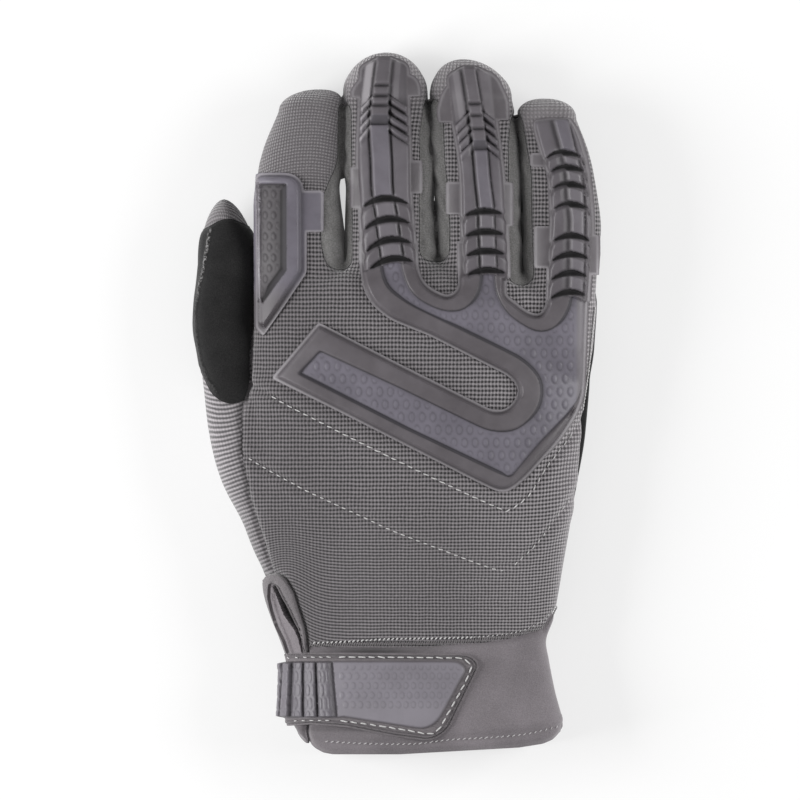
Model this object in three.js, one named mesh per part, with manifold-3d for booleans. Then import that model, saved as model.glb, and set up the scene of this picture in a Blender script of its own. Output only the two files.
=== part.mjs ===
// A right-hand work glove with moulded guards on its back, lying palm down.
// Millimetres. Fingers point to +Y, the back of the hand faces +Z, the palm lies flat on Z = 0.
import * as THREE from "three";
import { mergeVertices } from "three/addons/utils/BufferGeometryUtils.js";
import Module from "manifold-3d";

const wasm = await Module();
wasm.setup();

// Thicknesses and clearances.
const FABRIC = 1.3;
const CUFF_WALL = 2.5;
const GAP = 0.3;
const STRAP_THICK = 1.3;
const BINDING_THICK = 1.1;
const PATCH_THICK = 1.0;
const GUARD_BASE = 2.2;
const GUARD_RAIL = 3.4;
const GUARD_RIB = 4.8;
const PAD_BASE = 2.9;
const PAD_RIB = 3.9;

// Shape of a cross-section: 2 is an ellipse, more is squarer.
const BACK_ROUND = 2.3;
const PALM_ROUND = 3.4;
const FINGER_ROUND = 2.3;
const LITTLE_SIDE_FALL = 0.12;

// Facets round each tube, and steps along it.
const BODY_FACETS = 26;
const FINGER_FACETS = 14;
const BODY_STEP = 18;
const FINGER_STEP = 15;
const DOME_STEPS = 2;

// Where the body of the hand closes between the fingers. The little finger's side ends further back.
const BODY_START = -125;
const DOME_START = 37;
const DOME_LENGTH = 12;
const DOME_NARROWING = 0.35;
const SETBACK_START = { x: 12, y: 10 };
const SETBACK = { reach: 56, most: 7 };

// How far a dome's last ring turns towards its apex.
const BODY_DOME_TURN = 0.46 * Math.PI;
const TIP_DOME_TURN = 0.47 * Math.PI;

// Height of the side seam line above the table, along the glove.
const MID_LINE = [
  { y: -130, z: 15.5 },
  { y: -85, z: 15 },
  { y: -40, z: 15 },
  { y: 10, z: 16 },
  { y: 45, z: 18 },
  { y: 70, z: 18 },
  { y: 88, z: 15.6 },
  { y: 101, z: 12.6 },
  { y: 112, z: 10.6 },
  { y: 130, z: 9.4 },
];

// The hand without its fingers: side edges, underside and back at each station.
const BODY = [
  { y: -125, left: -39.2, right: 57.4, low: 2.8, top: 33 },
  { y: -109, left: -39.6, right: 57.1, low: 2.6, top: 32.6 },
  { y: -98, left: -40, right: 54.3, low: 2.4, top: 32 },
  { y: -82, left: -40.5, right: 51.6, low: 2, top: 31 },
  { y: -74, left: -43.3, right: 54.2, low: 0.6, top: 31 },
  { y: -66, left: -45.8, right: 55.8, low: -2, top: 31.5 },
  { y: -54, left: -46, right: 57.8, low: -2, top: 32.5 },
  { y: -40, left: -49.2, right: 60.2, low: -2, top: 33.5 },
  { y: -26, left: -51.9, right: 62.6, low: -2, top: 34 },
  { y: -12, left: -52.8, right: 65, low: -2, top: 34 },
  { y: 1, left: -51.4, right: 66.1, low: -2, top: 34 },
  { y: 15, left: -50, right: 67.1, low: -2, top: 33.5 },
  { y: 29, left: -48.8, right: 68.3, low: -1.5, top: 32.6 },
  { y: 49, left: -48, right: 68.8, low: 1.5, top: 31 },
];

// Fingers from inside the hand to the start of the rounded tip.
const FINGERS = {
  index: {
    tip: { x: -27.1, y: 108.8 },
    rows: [
      { x: -32.4, y: 22, half: 14.4, rise: 13.5 },
      { x: -33.4, y: 53, half: 14.6, rise: 11 },
      { x: -34, y: 70, half: 14.5, rise: 10.3 },
      { x: -32.4, y: 87.5, half: 13.5, rise: 9.8 },
      { x: -29.7, y: 101.3, half: 10.6, rise: 9 },
    ],
  },
  middle: {
    tip: { x: -3.4, y: 121.3 },
    rows: [
      { x: -2, y: 22, half: 14.4, rise: 13.5 },
      { x: -2.6, y: 53, half: 14.6, rise: 11 },
      { x: -2.8, y: 70, half: 14.6, rise: 10.3 },
      { x: -3.2, y: 87.5, half: 14.8, rise: 9.8 },
      { x: -3.8, y: 104.7, half: 14.3, rise: 9.2 },
      { x: -3.8, y: 111.6, half: 13.5, rise: 8.9 },
    ],
  },
  ring: {
    tip: { x: 23.2, y: 118.5 },
    rows: [
      { x: 28.4, y: 22, half: 14.4, rise: 13.5 },
      { x: 27.9, y: 53, half: 14.5, rise: 11 },
      { x: 27.6, y: 70, half: 14.5, rise: 10.3 },
      { x: 26.8, y: 87.5, half: 14.4, rise: 9.8 },
      { x: 25.9, y: 101.3, half: 14.2, rise: 9.2 },
      { x: 25.1, y: 109.9, half: 13.1, rise: 8.9 },
    ],
  },
  little: {
    tip: { x: 51.1, y: 105.2 },
    rows: [
      { x: 56.6, y: 22, half: 12, rise: 12 },
      { x: 56.9, y: 50, half: 12.9, rise: 10.2 },
      { x: 57.2, y: 60, half: 13.2, rise: 9.8 },
      { x: 56.2, y: 73.7, half: 12.7, rise: 9.4 },
      { x: 54.1, y: 87.5, half: 12, rise: 9 },
      { x: 51.9, y: 98, half: 10.3, rise: 8.6 },
    ],
  },
};

// The thumb, from inside the heel of the hand to the start of its tip.
const THUMB = {
  tip: { x: -58.8, y: 70.9 },
  rows: [
    { x: -35, y: -60, z: 14, half: 12.5, rise: 11 },
    { x: -40.5, y: -41, z: 13.6, half: 12.6, rise: 11.6 },
    { x: -48.2, y: -26, z: 13, half: 12.4, rise: 11.8 },
    { x: -53, y: -10, z: 12.4, half: 11.6, rise: 11.6 },
    { x: -56.6, y: 8, z: 12, half: 10.4, rise: 11.4 },
    { x: -60.4, y: 28.8, z: 12, half: 10, rise: 11.2 },
    { x: -58.8, y: 43, z: 12, half: 10, rise: 11 },
    { x: -57.1, y: 56, z: 11.6, half: 9.7, rise: 10.6 },
  ],
};

// Smooth values of the named columns of a table, at any place along the glove.
function column(rows, names) {
  const curve = new THREE.CubicInterpolant(
    rows.map((row) => row.y),
    rows.flatMap((row) => names.map((name) => row[name])),
    names.length,
    new Array(names.length),
  );
  return (y) => {
    const values = curve.evaluate(y);
    return Object.fromEntries(names.map((name, i) => [name, values[i]]));
  };
}

const midAt = column(MID_LINE, ["z"]);
const bodyAt = column(BODY, ["left", "right", "low", "top"]);

// A closed three.js geometry as a solid.
function solid(geometry) {
  const bare = geometry.clone();
  bare.deleteAttribute("normal");
  bare.deleteAttribute("uv");
  const merged = mergeVertices(bare, 1e-4);
  return new wasm.Manifold(
    new wasm.Mesh({
      numProp: 3,
      vertProperties: new Float32Array(merged.attributes.position.array),
      triVerts: new Uint32Array(merged.index.array),
    }),
  );
}

// A closed skin through rings of points, all wound the same way round the travel direction.
function loft(rings) {
  const count = rings[0].length;
  const points = rings.flat();
  const faces = [];
  for (let k = 0; k + 1 < rings.length; k += 1) {
    for (let i = 0; i < count; i += 1) {
      const a = k * count + i;
      const b = k * count + ((i + 1) % count);
      faces.push(a, b, b + count, a, b + count, a + count);
    }
  }
  const last = (rings.length - 1) * count;
  for (let i = 1; i + 1 < count; i += 1) {
    faces.push(0, i + 1, i);
    faces.push(last, last + i, last + i + 1);
  }
  const geometry = new THREE.BufferGeometry().setFromPoints(points);
  geometry.setIndex(faces);
  return solid(geometry);
}

// A power of sine or cosine that keeps its sign, for rounded-square sections.
function rounded(value, roundness) {
  return Math.sign(value) * Math.abs(value) ** (2 / roundness);
}

// The hand body, grown outwards by an offset: its underside is flattened where it rests.
function bodySolid(offset) {
  const ringAt = (y, close) => {
    const row = bodyAt(Math.min(y, DOME_START + DOME_LENGTH));
    const mid = midAt(y).z;
    const centre = (row.left + row.right) / 2;
    const half = (row.right - row.left) / 2;
    const narrow = 1 - (1 - close) * DOME_NARROWING;
    const setback = THREE.MathUtils.smoothstep(y, SETBACK_START.y, DOME_START + DOME_LENGTH);
    return Array.from({ length: BODY_FACETS }, (_, i) => {
      const angle = (2 * Math.PI * i) / BODY_FACETS;
      const up = Math.cos(angle);
      const across = rounded(Math.sin(angle), up > 0 ? BACK_ROUND : PALM_ROUND);
      const fall = 1 - LITTLE_SIDE_FALL * across;
      const back = (row.top - mid) * close * fall + offset;
      const under = (mid - row.low) * close + offset;
      const height = up > 0 ? back * rounded(up, BACK_ROUND) : under * rounded(up, PALM_ROUND);
      const x = centre + across * (half * narrow + offset);
      const side = Math.max(0, x - SETBACK_START.x) / SETBACK.reach;
      return new THREE.Vector3(
        x,
        y - setback * side * SETBACK.most,
        Math.max(mid + height, -offset),
      );
    });
  };
  const rings = [];
  const steps = Math.round((DOME_START - BODY_START) / BODY_STEP);
  for (let k = 0; k <= steps; k += 1) {
    rings.push(ringAt(BODY_START + ((DOME_START - BODY_START) * k) / steps, 1));
  }
  for (let k = 1; k <= DOME_STEPS; k += 1) {
    const turn = (BODY_DOME_TURN * k) / DOME_STEPS;
    rings.push(ringAt(DOME_START + (DOME_LENGTH + offset) * Math.sin(turn), Math.cos(turn)));
  }
  return loft(rings);
}

// A finger or thumb: rounded sections square to its route in plan, with a domed tip.
function fingerSolid(finger, offset) {
  const at = column(finger.rows, Object.keys(finger.rows[0]).filter((name) => name !== "y"));
  const first = finger.rows[0].y;
  const last = finger.rows[finger.rows.length - 1].y;
  const end = at(last);
  const stations = [];
  const steps = Math.round((last - first) / FINGER_STEP);
  for (let k = 0; k <= steps; k += 1) {
    const y = first + ((last - first) * k) / steps;
    stations.push({ ...at(y), y });
  }
  for (let k = 1; k <= DOME_STEPS + 1; k += 1) {
    const turn = (TIP_DOME_TURN * k) / (DOME_STEPS + 1);
    const y = last + (finger.tip.y - last + offset) * Math.sin(turn);
    const x = THREE.MathUtils.mapLinear(y, last, finger.tip.y, end.x, finger.tip.x);
    const close = Math.cos(turn);
    const half = (end.half + offset) * close - offset;
    const rise = (end.rise + offset) * close - offset;
    stations.push({ ...end, x, y, half, rise });
  }
  const rings = stations.map((station, k) => {
    const before = stations[Math.max(0, k - 1)];
    const after = stations[Math.min(stations.length - 1, k + 1)];
    const heading = new THREE.Vector3(after.x - before.x, after.y - before.y, 0).normalize();
    const mid = station.z ?? midAt(station.y).z;
    return Array.from({ length: FINGER_FACETS }, (_, i) => {
      const angle = (2 * Math.PI * i) / FINGER_FACETS;
      const across = rounded(Math.sin(angle), FINGER_ROUND) * (station.half + offset);
      const height = rounded(Math.cos(angle), FINGER_ROUND) * (station.rise + offset);
      return new THREE.Vector3(
        station.x + heading.y * across,
        station.y - heading.x * across,
        Math.max(mid + height, -offset),
      );
    });
  });
  return loft(rings);
}

function join(solids) {
  return solids.reduce((whole, next) => whole.add(next));
}

// The hand and its four fingers, without the thumb, grown by an offset.
function handSolid(offset) {
  const fingers = Object.values(FINGERS).map((finger) => fingerSolid(finger, offset));
  return join([bodySolid(offset), ...fingers]);
}

// The most of an edge that a rounded corner may take.
const CORNER_SHARE = 0.48;

// A flat outline through points, with each corner rounded by its r.
function outline(points) {
  const corners = points.map((p) => ({ at: new THREE.Vector2(p.x, p.y), r: p.r ?? 0 }));
  const shape = new THREE.Shape();
  corners.forEach((corner, i) => {
    const before = corners[(i + corners.length - 1) % corners.length].at;
    const after = corners[(i + 1) % corners.length].at;
    const reach = (other) => Math.min(corner.r, corner.at.distanceTo(other) * CORNER_SHARE);
    const enter = corner.at.clone().add(before.clone().sub(corner.at).setLength(reach(before)));
    const leave = corner.at.clone().add(after.clone().sub(corner.at).setLength(reach(after)));
    const start = corner.r ? enter : corner.at;
    if (i === 0) shape.moveTo(start.x, start.y);
    else shape.lineTo(start.x, start.y);
    if (corner.r) shape.quadraticCurveTo(corner.at.x, corner.at.y, leave.x, leave.y);
  });
  shape.closePath();
  return shape;
}

const SKY = 60;

// An upright block over an outline seen from above.
function block(shape, low = -10, high = SKY) {
  const geometry = new THREE.ExtrudeGeometry(shape, {
    depth: high - low,
    bevelEnabled: false,
    curveSegments: 3,
  });
  return solid(geometry.translate(0, 0, low));
}

// A band of even width along a route seen from above.
function band(route, width) {
  const points = route.map((p) => new THREE.Vector2(p.x, p.y));
  const edge = (side) =>
    points.map((point, i) => {
      const before = points[Math.max(0, i - 1)];
      const after = points[Math.min(points.length - 1, i + 1)];
      const into = point.clone().sub(before).normalize();
      const out = after.clone().sub(point).normalize();
      const along = into.add(out).normalize();
      return new THREE.Vector2(-along.y, along.x).multiplyScalar((side * width) / 2).add(point);
    });
  return block(new THREE.Shape([...edge(1), ...edge(-1).reverse()]));
}

const SIDE = 120;

// Everything between two heights above or below the side seam line.
function layer(low, high) {
  const stations = MID_LINE.map((row) => row.y);
  const line = (rise) => stations.map((y) => new THREE.Vector2(y, midAt(y).z + rise));
  const shape = new THREE.Shape([...line(low), ...line(high).reverse()]);
  const geometry = new THREE.ExtrudeGeometry(shape, { depth: 2 * SIDE, bevelEnabled: false });
  geometry.applyMatrix4(
    new THREE.Matrix4().makeBasis(
      new THREE.Vector3(0, 1, 0),
      new THREE.Vector3(0, 0, 1),
      new THREE.Vector3(1, 0, 0),
    ),
  );
  return solid(geometry.translate(-SIDE, 0, 0));
}

// The largest of the pieces that a cut leaves.
function mainPiece(cut) {
  return cut.decompose().reduce((best, piece) => (piece.volume() > best.volume() ? piece : best));
}

// Shared bodies.
const skin = handSolid(0);
const hollow = handSolid(-FABRIC);
const handShell = skin.subtract(hollow);
const clearSkin = handSolid(GAP);
const thumbSkin = fingerSolid(THUMB, 0);
const thumbHollow = fingerSolid(THUMB, -FABRIC);

// The wrist seam, seen from above, from the thumb side to the little finger side.
const WRIST_SEAM = [
  { x: -80, y: -84.4 },
  { x: 5, y: -84 },
  { x: 28.8, y: -82.6 },
  { x: 39.2, y: -81.2 },
  { x: 51.2, y: -78.1 },
  { x: 80, y: -70 },
];

// The free end of the cuff, seen from above.
const CUFF_END = [
  { x: 80, y: -112 },
  { x: 57.4, y: -115.7, r: 4 },
  { x: 42.6, y: -118.5 },
  { x: 1.2, y: -120.6 },
  { x: -22.9, y: -121.3, r: 5 },
  { x: -31.6, y: -116.8, r: 5 },
  { x: -80, y: -113 },
];

const shifted = (route, dy) => route.map((p) => ({ ...p, y: p.y + dy }));
const cuffZone = block(outline([...shifted(WRIST_SEAM, -GAP / 2), ...CUFF_END]));
const handZone = block(
  outline([...shifted(WRIST_SEAM, GAP / 2), { x: 80, y: 130 }, { x: -80, y: 130 }]),
);

// The slit at the wrist that lets the hand in, on the thumb side of the back.
const SLIT_WIDTH = 2.2;
const SLIT = [
  { x: -41.4, y: -62.4 },
  { x: -37.8, y: -71.5 },
  { x: -33.8, y: -83 },
  { x: -33.2, y: -125 },
];
const MIDWAY = layer(0, SKY);
const slitCut = band(SLIT, SLIT_WIDTH).intersect(MIDWAY);

// Side panels between the fingers: low and high edge from the side seam line.
const FOURCHETTE_LOW = -4;
const FOURCHETTE_HIGH = 6.4;
const FOURCHETTE_STEPS = 6;
const FOURCHETTES = [
  { name: "fourchette_index_middle", left: "index", right: "middle", start: 36, end: 99 },
  { name: "fourchette_middle_ring", left: "middle", right: "ring", start: 36, end: 108 },
  { name: "fourchette_ring_little", left: "ring", right: "little", start: 28, end: 96 },
];

function fourchetteZone(piece, grow) {
  const ends = [piece.start - grow, piece.end + grow];
  const edge = (finger) => {
    const at = column(finger.rows, ["x"]);
    return Array.from({ length: FOURCHETTE_STEPS + 1 }, (_, i) => {
      const y = THREE.MathUtils.lerp(ends[0], ends[1], i / FOURCHETTE_STEPS);
      return { x: at(y).x, y };
    });
  };
  const plan = [...edge(FINGERS[piece.right]), ...edge(FINGERS[piece.left]).reverse()];
  return block(outline(plan)).intersect(layer(FOURCHETTE_LOW - grow, FOURCHETTE_HIGH + grow));
}

// Height of the seam between back and palm over the side seam line.
const SEAM_RISE = 2;
const fourchetteRoom = join(FOURCHETTES.map((piece) => fourchetteZone(piece, GAP)));
const thumbHole = fingerSolid(THUMB, -FABRIC - GAP);

function backPanel() {
  const upper = layer(SEAM_RISE + GAP / 2, SKY).intersect(handZone);
  return mainPiece(
    handShell.intersect(upper).subtract(fourchetteRoom).subtract(thumbHole).subtract(slitCut),
  );
}

function palmPanel() {
  const lower = layer(-SKY, SEAM_RISE - GAP / 2).intersect(handZone);
  return mainPiece(handShell.intersect(lower).subtract(fourchetteRoom).subtract(thumbHole));
}

function fourchette(piece) {
  return mainPiece(handShell.intersect(fourchetteZone(piece, 0)));
}

function thumbPanel() {
  return mainPiece(thumbSkin.subtract(thumbHollow).subtract(clearSkin));
}

// The suede patch over the thumb, between its tip and the web of the hand.
const THUMB_PATCH = [
  { x: -75, y: 60.5 },
  { x: -62, y: 63.6, r: 3 },
  { x: -54.5, y: 64, r: 3 },
  { x: -44, y: 56 },
  { x: -44, y: 12 },
  { x: -50, y: 4, r: 4 },
  { x: -56.5, y: -0.6, r: 4 },
  { x: -63.5, y: 5, r: 4 },
  { x: -75, y: 13 },
];

function thumbPatch() {
  const outer = fingerSolid(THUMB, PATCH_THICK + GAP);
  const layerOver = outer.subtract(fingerSolid(THUMB, GAP));
  const lift = block(outline(THUMB_PATCH), GAP);
  const guardRoom = handSolid(GUARD_RAIL + GAP).intersect(layer(0, SKY));
  const patch = layerOver.intersect(lift).subtract(handSolid(2 * GAP));
  return mainPiece(patch.subtract(guardRoom));
}

function wristCuff() {
  const ring = bodySolid(0).subtract(bodySolid(-CUFF_WALL));
  return mainPiece(ring.intersect(cuffZone).subtract(slitCut));
}

// The piping round the top of the slit.
const BINDING = [
  { x: -38.4, y: -85.7 },
  { x: -43.6, y: -75.4 },
  { x: -46.4, y: -67.6 },
  { x: -46.2, y: -61, r: 3 },
  { x: -41.4, y: -58.8, r: 3 },
  { x: -38, y: -64 },
  { x: -35.2, y: -71 },
  { x: -31, y: -80 },
  { x: -30.6, y: -85.7 },
];

function slitBinding() {
  const over = bodySolid(GAP + BINDING_THICK).subtract(clearSkin).intersect(MIDWAY);
  const piping = over.intersect(block(outline(BINDING))).subtract(band(SLIT, SLIT_WIDTH));
  return mainPiece(piping.subtract(fingerSolid(THUMB, GAP)));
}

// The closing strap, seen from above, and how far it wraps under the wrist.
const STRAP = [
  { x: -80, y: -86.2 },
  { x: 25.4, y: -86.6, r: 3 },
  { x: 28.2, y: -90.4, r: 2 },
  { x: 17, y: -113.4, r: 3 },
  { x: 11.4, y: -116, r: 3 },
  { x: -0.5, y: -114.4 },
  { x: -19.5, y: -110.2 },
  { x: -29.8, y: -109.9 },
  { x: -36.7, y: -111.4 },
  { x: -80, y: -111 },
];
const STRAP_UNDER_END = -6;

function strap() {
  const wrap = bodySolid(GAP + STRAP_THICK).subtract(bodySolid(GAP));
  const over = block(outline(STRAP)).intersect(MIDWAY);
  const under = block(
    outline([
      { x: -80, y: -86.2 },
      { x: STRAP_UNDER_END, y: -86.2 },
      { x: STRAP_UNDER_END, y: -110 },
      { x: -80, y: -110 },
    ]),
  ).intersect(layer(-SKY, 0));
  return mainPiece(wrap.intersect(over.add(under)));
}

// The moulded pad on the strap, with a ribbed pull end on the thumb side.
const PAD = [
  { x: -80, y: -88.6 },
  { x: 23, y: -88.6, r: 3 },
  { x: 25.6, y: -91.4, r: 2 },
  { x: 15.4, y: -110.4, r: 3 },
  { x: 10.2, y: -112.8, r: 3 },
  { x: -18, y: -108 },
  { x: -21.5, y: -108.6 },
  { x: -80, y: -108.6 },
];
const PAD_RIBS = [-38.6, -34.3, -30, -25];
const PAD_RIB_WIDTH = 2.6;
const PAD_RIB_ENDS = { top: -89.4, foot: -107.8, lean: 1 };

// How far above the side seam line the rubber stops.
const PAD_FOOT = 1.5;
const GUARD_FOOT = 1;

function strapPad() {
  const bed = bodySolid(2 * GAP + STRAP_THICK);
  const base = bodySolid(PAD_BASE + GAP).intersect(block(outline(PAD)));
  const tall = bodySolid(PAD_RIB + GAP);
  const ribs = PAD_RIBS.map((x) => {
    const route = [
      { x, y: PAD_RIB_ENDS.top },
      { x: x + PAD_RIB_ENDS.lean, y: PAD_RIB_ENDS.foot },
    ];
    return tall.intersect(band(route, PAD_RIB_WIDTH));
  });
  return mainPiece(join([base, ...ribs]).subtract(bed).intersect(layer(PAD_FOOT, SKY)));
}

// The knuckle guard plate: it runs from the ring and little knuckles to a point over the hand,
// round a slot of bare fabric.
const PLATE = [
  { x: -12.8, y: 60 },
  { x: -12.6, y: 46 },
  { x: -11.4, y: 38.6 },
  { x: -7.1, y: 32.3 },
  { x: -1.6, y: 28.5, r: 2 },
  { x: 39.2, y: 9.2, r: 3 },
  { x: 42.4, y: 4.6, r: 3 },
  { x: 39.5, y: -1.2, r: 3 },
  { x: 34.7, y: -2.8, r: 3 },
  { x: -26.7, y: 28.1, r: 1.5 },
  { x: -43.2, y: 8.5, r: 1.5 },
  { x: 28.8, y: -27.4 },
  { x: 37.5, y: -31.4, r: 4 },
  { x: 44.3, y: -26.4 },
  { x: 56.4, y: -12.6 },
  { x: 65.6, y: 1.2, r: 8 },
  { x: 66, y: 36 },
  { x: 66, y: 60 },
];

// Windows of bare fabric between the arms of the guard.
const WINDOWS = [
  [
    { x: 6.6, y: 75 },
    { x: 8, y: 43.4, r: 6 },
    { x: 17, y: 37, r: 4 },
    { x: 21.4, y: 42, r: 3 },
    { x: 21, y: 75 },
  ],
  [
    { x: 38.2, y: 75 },
    { x: 38.4, y: 36.4, r: 5 },
    { x: 48.4, y: 31, r: 4 },
    { x: 51.8, y: 36, r: 3 },
    { x: 51.4, y: 75 },
  ],
];

// The three finger arms: left and right edge along the finger, tip first.
const ARMS = {
  middle: {
    rows: [
      { y: 120, left: -8, right: -0.4 },
      { y: 116.6, left: -12, right: 4.6 },
      { y: 112, left: -12.2, right: 7.6 },
      { y: 105.8, left: -14, right: 8 },
      { y: 101, left: -12.6, right: 4.4 },
      { y: 85, left: -13.4, right: 5 },
      { y: 83, left: -14.8, right: 8.6 },
      { y: 71, left: -15.2, right: 8.8 },
      { y: 68, left: -13, right: 5.2 },
      { y: 46, left: -12.4, right: 5.2 },
    ],
    stripHalf: 4.6,
    chevrons: [104.6, 101.2, 97.8, 94.4],
    arches: [71, 64, 57.4, 50.8],
    span: 7.6,
  },
  ring: {
    rows: [
      { y: 114.4, left: 18.6, right: 31.6 },
      { y: 108, left: 16.2, right: 35.4 },
      { y: 99, left: 18, right: 36.4 },
      { y: 94, left: 20, right: 35.4 },
      { y: 79, left: 20.8, right: 36 },
      { y: 76, left: 17.6, right: 38 },
      { y: 67, left: 18.2, right: 38.2 },
      { y: 62, left: 22, right: 37.4 },
      { y: 44, left: 22.4, right: 38 },
    ],
    stripHalf: 4.4,
    chevrons: [98.6, 95, 91.2, 87.4],
    arches: [67, 60, 53.2, 46.6],
    span: 7.4,
  },
  little: {
    rows: [
      { y: 98, left: 47.2, right: 60.2 },
      { y: 92, left: 48.6, right: 63 },
      { y: 84, left: 50.6, right: 65.8 },
      { y: 78, left: 51.8, right: 66.6 },
      { y: 61, left: 50.4, right: 67 },
      { y: 48, left: 50.6, right: 66.8 },
      { y: 38, left: 52, right: 66.4 },
    ],
    stripHalf: 4,
    chevrons: [86.4, 80.4, 74.6, 68],
    arches: [57.4, 50.8, 44.6, 38],
    span: 6.8,
  },
};
const RIB_THICK = 2.4;
const RIB_DROP = 3;
const CHEVRON_SPAN = 0.9;
const STRIP_SHORT = 1.5;

// Raised rails of the plate: along the slot, round the windows and down the outer border.
const RAILS = [
  [
    { x: -9.6, y: 52 },
    { x: -9, y: 44 },
    { x: -6.4, y: 36.4 },
    { x: -0.4, y: 31.6 },
    { x: 37.8, y: 13.4 },
    { x: 44.2, y: 9.6 },
    { x: 46.2, y: 3.4 },
    { x: 42.6, y: -4 },
    { x: 35, y: -6.6 },
    { x: 27, y: -3.6 },
    { x: -24.6, y: 22.2 },
    { x: -27.6, y: 23 },
    { x: -31, y: 19.6 },
    { x: -38, y: 10.8 },
  ],
  [
    { x: 3, y: 48 },
    { x: 4.4, y: 41 },
    { x: 9, y: 36 },
    { x: 16, y: 33.6 },
    { x: 23, y: 35.4 },
    { x: 26, y: 40 },
    { x: 26.4, y: 46 },
  ],
  [
    { x: 34.6, y: 44 },
    { x: 35, y: 36.6 },
    { x: 38.6, y: 31 },
    { x: 44.6, y: 27.8 },
    { x: 51.6, y: 28.6 },
    { x: 55.4, y: 33.6 },
    { x: 55.8, y: 40 },
  ],
];
const RAIL_WIDTH = 5.4;

function armSolids(arm, levels) {
  const edges = column([...arm.rows].reverse(), ["left", "right"]);
  const axis = (y) => (edges(y).left + edges(y).right) / 2;
  const plan = outline([
    ...arm.rows.map((row) => ({ x: row.left, y: row.y })),
    ...[...arm.rows].reverse().map((row) => ({ x: row.right, y: row.y })),
  ]);
  const top = arm.rows[0].y - STRIP_SHORT;
  const foot = arm.rows[arm.rows.length - 1].y;
  const stripEdge = (side) =>
    [top, arm.chevrons[3], arm.arches[0], foot].map((y) => ({
      x: axis(y) + side * arm.stripHalf,
      y,
    }));
  const strip = outline([...stripEdge(-1), ...stripEdge(1).reverse()]);
  const rib = (y, half) => {
    const x = axis(y);
    const route = [
      { x: x - half, y: y - RIB_DROP },
      { x, y },
      { x: x + half, y: y - RIB_DROP },
    ];
    return levels.rib.intersect(band(route, RIB_THICK));
  };
  return [
    levels.base.intersect(block(plan)),
    levels.rail.intersect(block(strip)),
    ...arm.chevrons.map((y) => rib(y, arm.span * CHEVRON_SPAN)),
    ...arm.arches.map((y) => rib(y, arm.span)),
  ];
}

function knuckleGuard() {
  const levels = {
    base: handSolid(GUARD_BASE),
    rail: handSolid(GUARD_RAIL),
    rib: handSolid(GUARD_RIB),
  };
  const windows = join(WINDOWS.map((points) => block(outline(points))));
  const plate = block(outline(PLATE)).subtract(windows);
  const arms = Object.values(ARMS).flatMap((arm) => armSolids(arm, levels));
  const rails = RAILS.map((route) => levels.rail.intersect(band(route, RAIL_WIDTH)));
  const whole = join([levels.base.intersect(plate), ...rails, ...arms]);
  return mainPiece(whole.subtract(clearSkin).intersect(layer(GUARD_FOOT, SKY)));
}

// The guard on the side of the index finger: a framed recess with a tab towards the finger.
const INDEX_GUARD = [
  { x: -48.4, y: 78 },
  { x: -46.6, y: 79.8 },
  { x: -35, y: 79.8, r: 4 },
  { x: -32.3, y: 73.4 },
  { x: -25.6, y: 73.4, r: 1 },
  { x: -25.6, y: 59.2, r: 1 },
  { x: -30.8, y: 58.6 },
  { x: -30.8, y: 44.8 },
  { x: -46.2, y: 23.4, r: 1 },
  { x: -48.6, y: 24.6 },
];
const INDEX_RAIL = [
  { x: -46.4, y: 78 },
  { x: -36.4, y: 77.4 },
  { x: -34.6, y: 74.8 },
  { x: -34.8, y: 45.4 },
  { x: -46.6, y: 29 },
];
const INDEX_RAIL_WIDTH = 4.4;

function indexGuard() {
  const base = handSolid(GUARD_BASE).intersect(block(outline(INDEX_GUARD)));
  const frame = block(outline(INDEX_GUARD)).intersect(band(INDEX_RAIL, INDEX_RAIL_WIDTH));
  const rail = handSolid(GUARD_RAIL).intersect(frame);
  return mainPiece(base.add(rail).subtract(clearSkin).intersect(layer(GUARD_FOOT, SKY)));
}

// Finishes, from the photographed colours.
const finish = (color, roughness) =>
  new THREE.MeshStandardMaterial({ color, roughness, metalness: 0 });
const knit = finish("#7d787a", 0.95);
const softGrey = finish("#696c67", 0.9);
const leather = finish("#262626", 0.85);
const neoprene = finish("#7a7578", 0.85);
const rubber = finish("#645f64", 0.5);

// A solid as a named mesh.
function piece(name, made, material) {
  const mesh = made.getMesh();
  const geometry = new THREE.BufferGeometry();
  geometry.setAttribute("position", new THREE.BufferAttribute(mesh.vertProperties, 3));
  geometry.setIndex(new THREE.BufferAttribute(mesh.triVerts, 1));
  geometry.computeVertexNormals();
  const object = new THREE.Mesh(geometry, material);
  object.name = name;
  return object;
}

const glove = new THREE.Group();
glove.add(piece("back_panel", backPanel(), knit));
glove.add(piece("palm_panel", palmPanel(), leather));
FOURCHETTES.forEach((side) => glove.add(piece(side.name, fourchette(side), softGrey)));
glove.add(piece("thumb_panel", thumbPanel(), knit));
glove.add(piece("thumb_patch", thumbPatch(), leather));
glove.add(piece("wrist_cuff", wristCuff(), neoprene));
glove.add(piece("slit_binding", slitBinding(), softGrey));
glove.add(piece("wrist_strap", strap(), neoprene));
glove.add(piece("strap_pad", strapPad(), rubber));
glove.add(piece("knuckle_guard", knuckleGuard(), rubber));
glove.add(piece("index_guard", indexGuard(), rubber));

export default glove;
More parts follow.
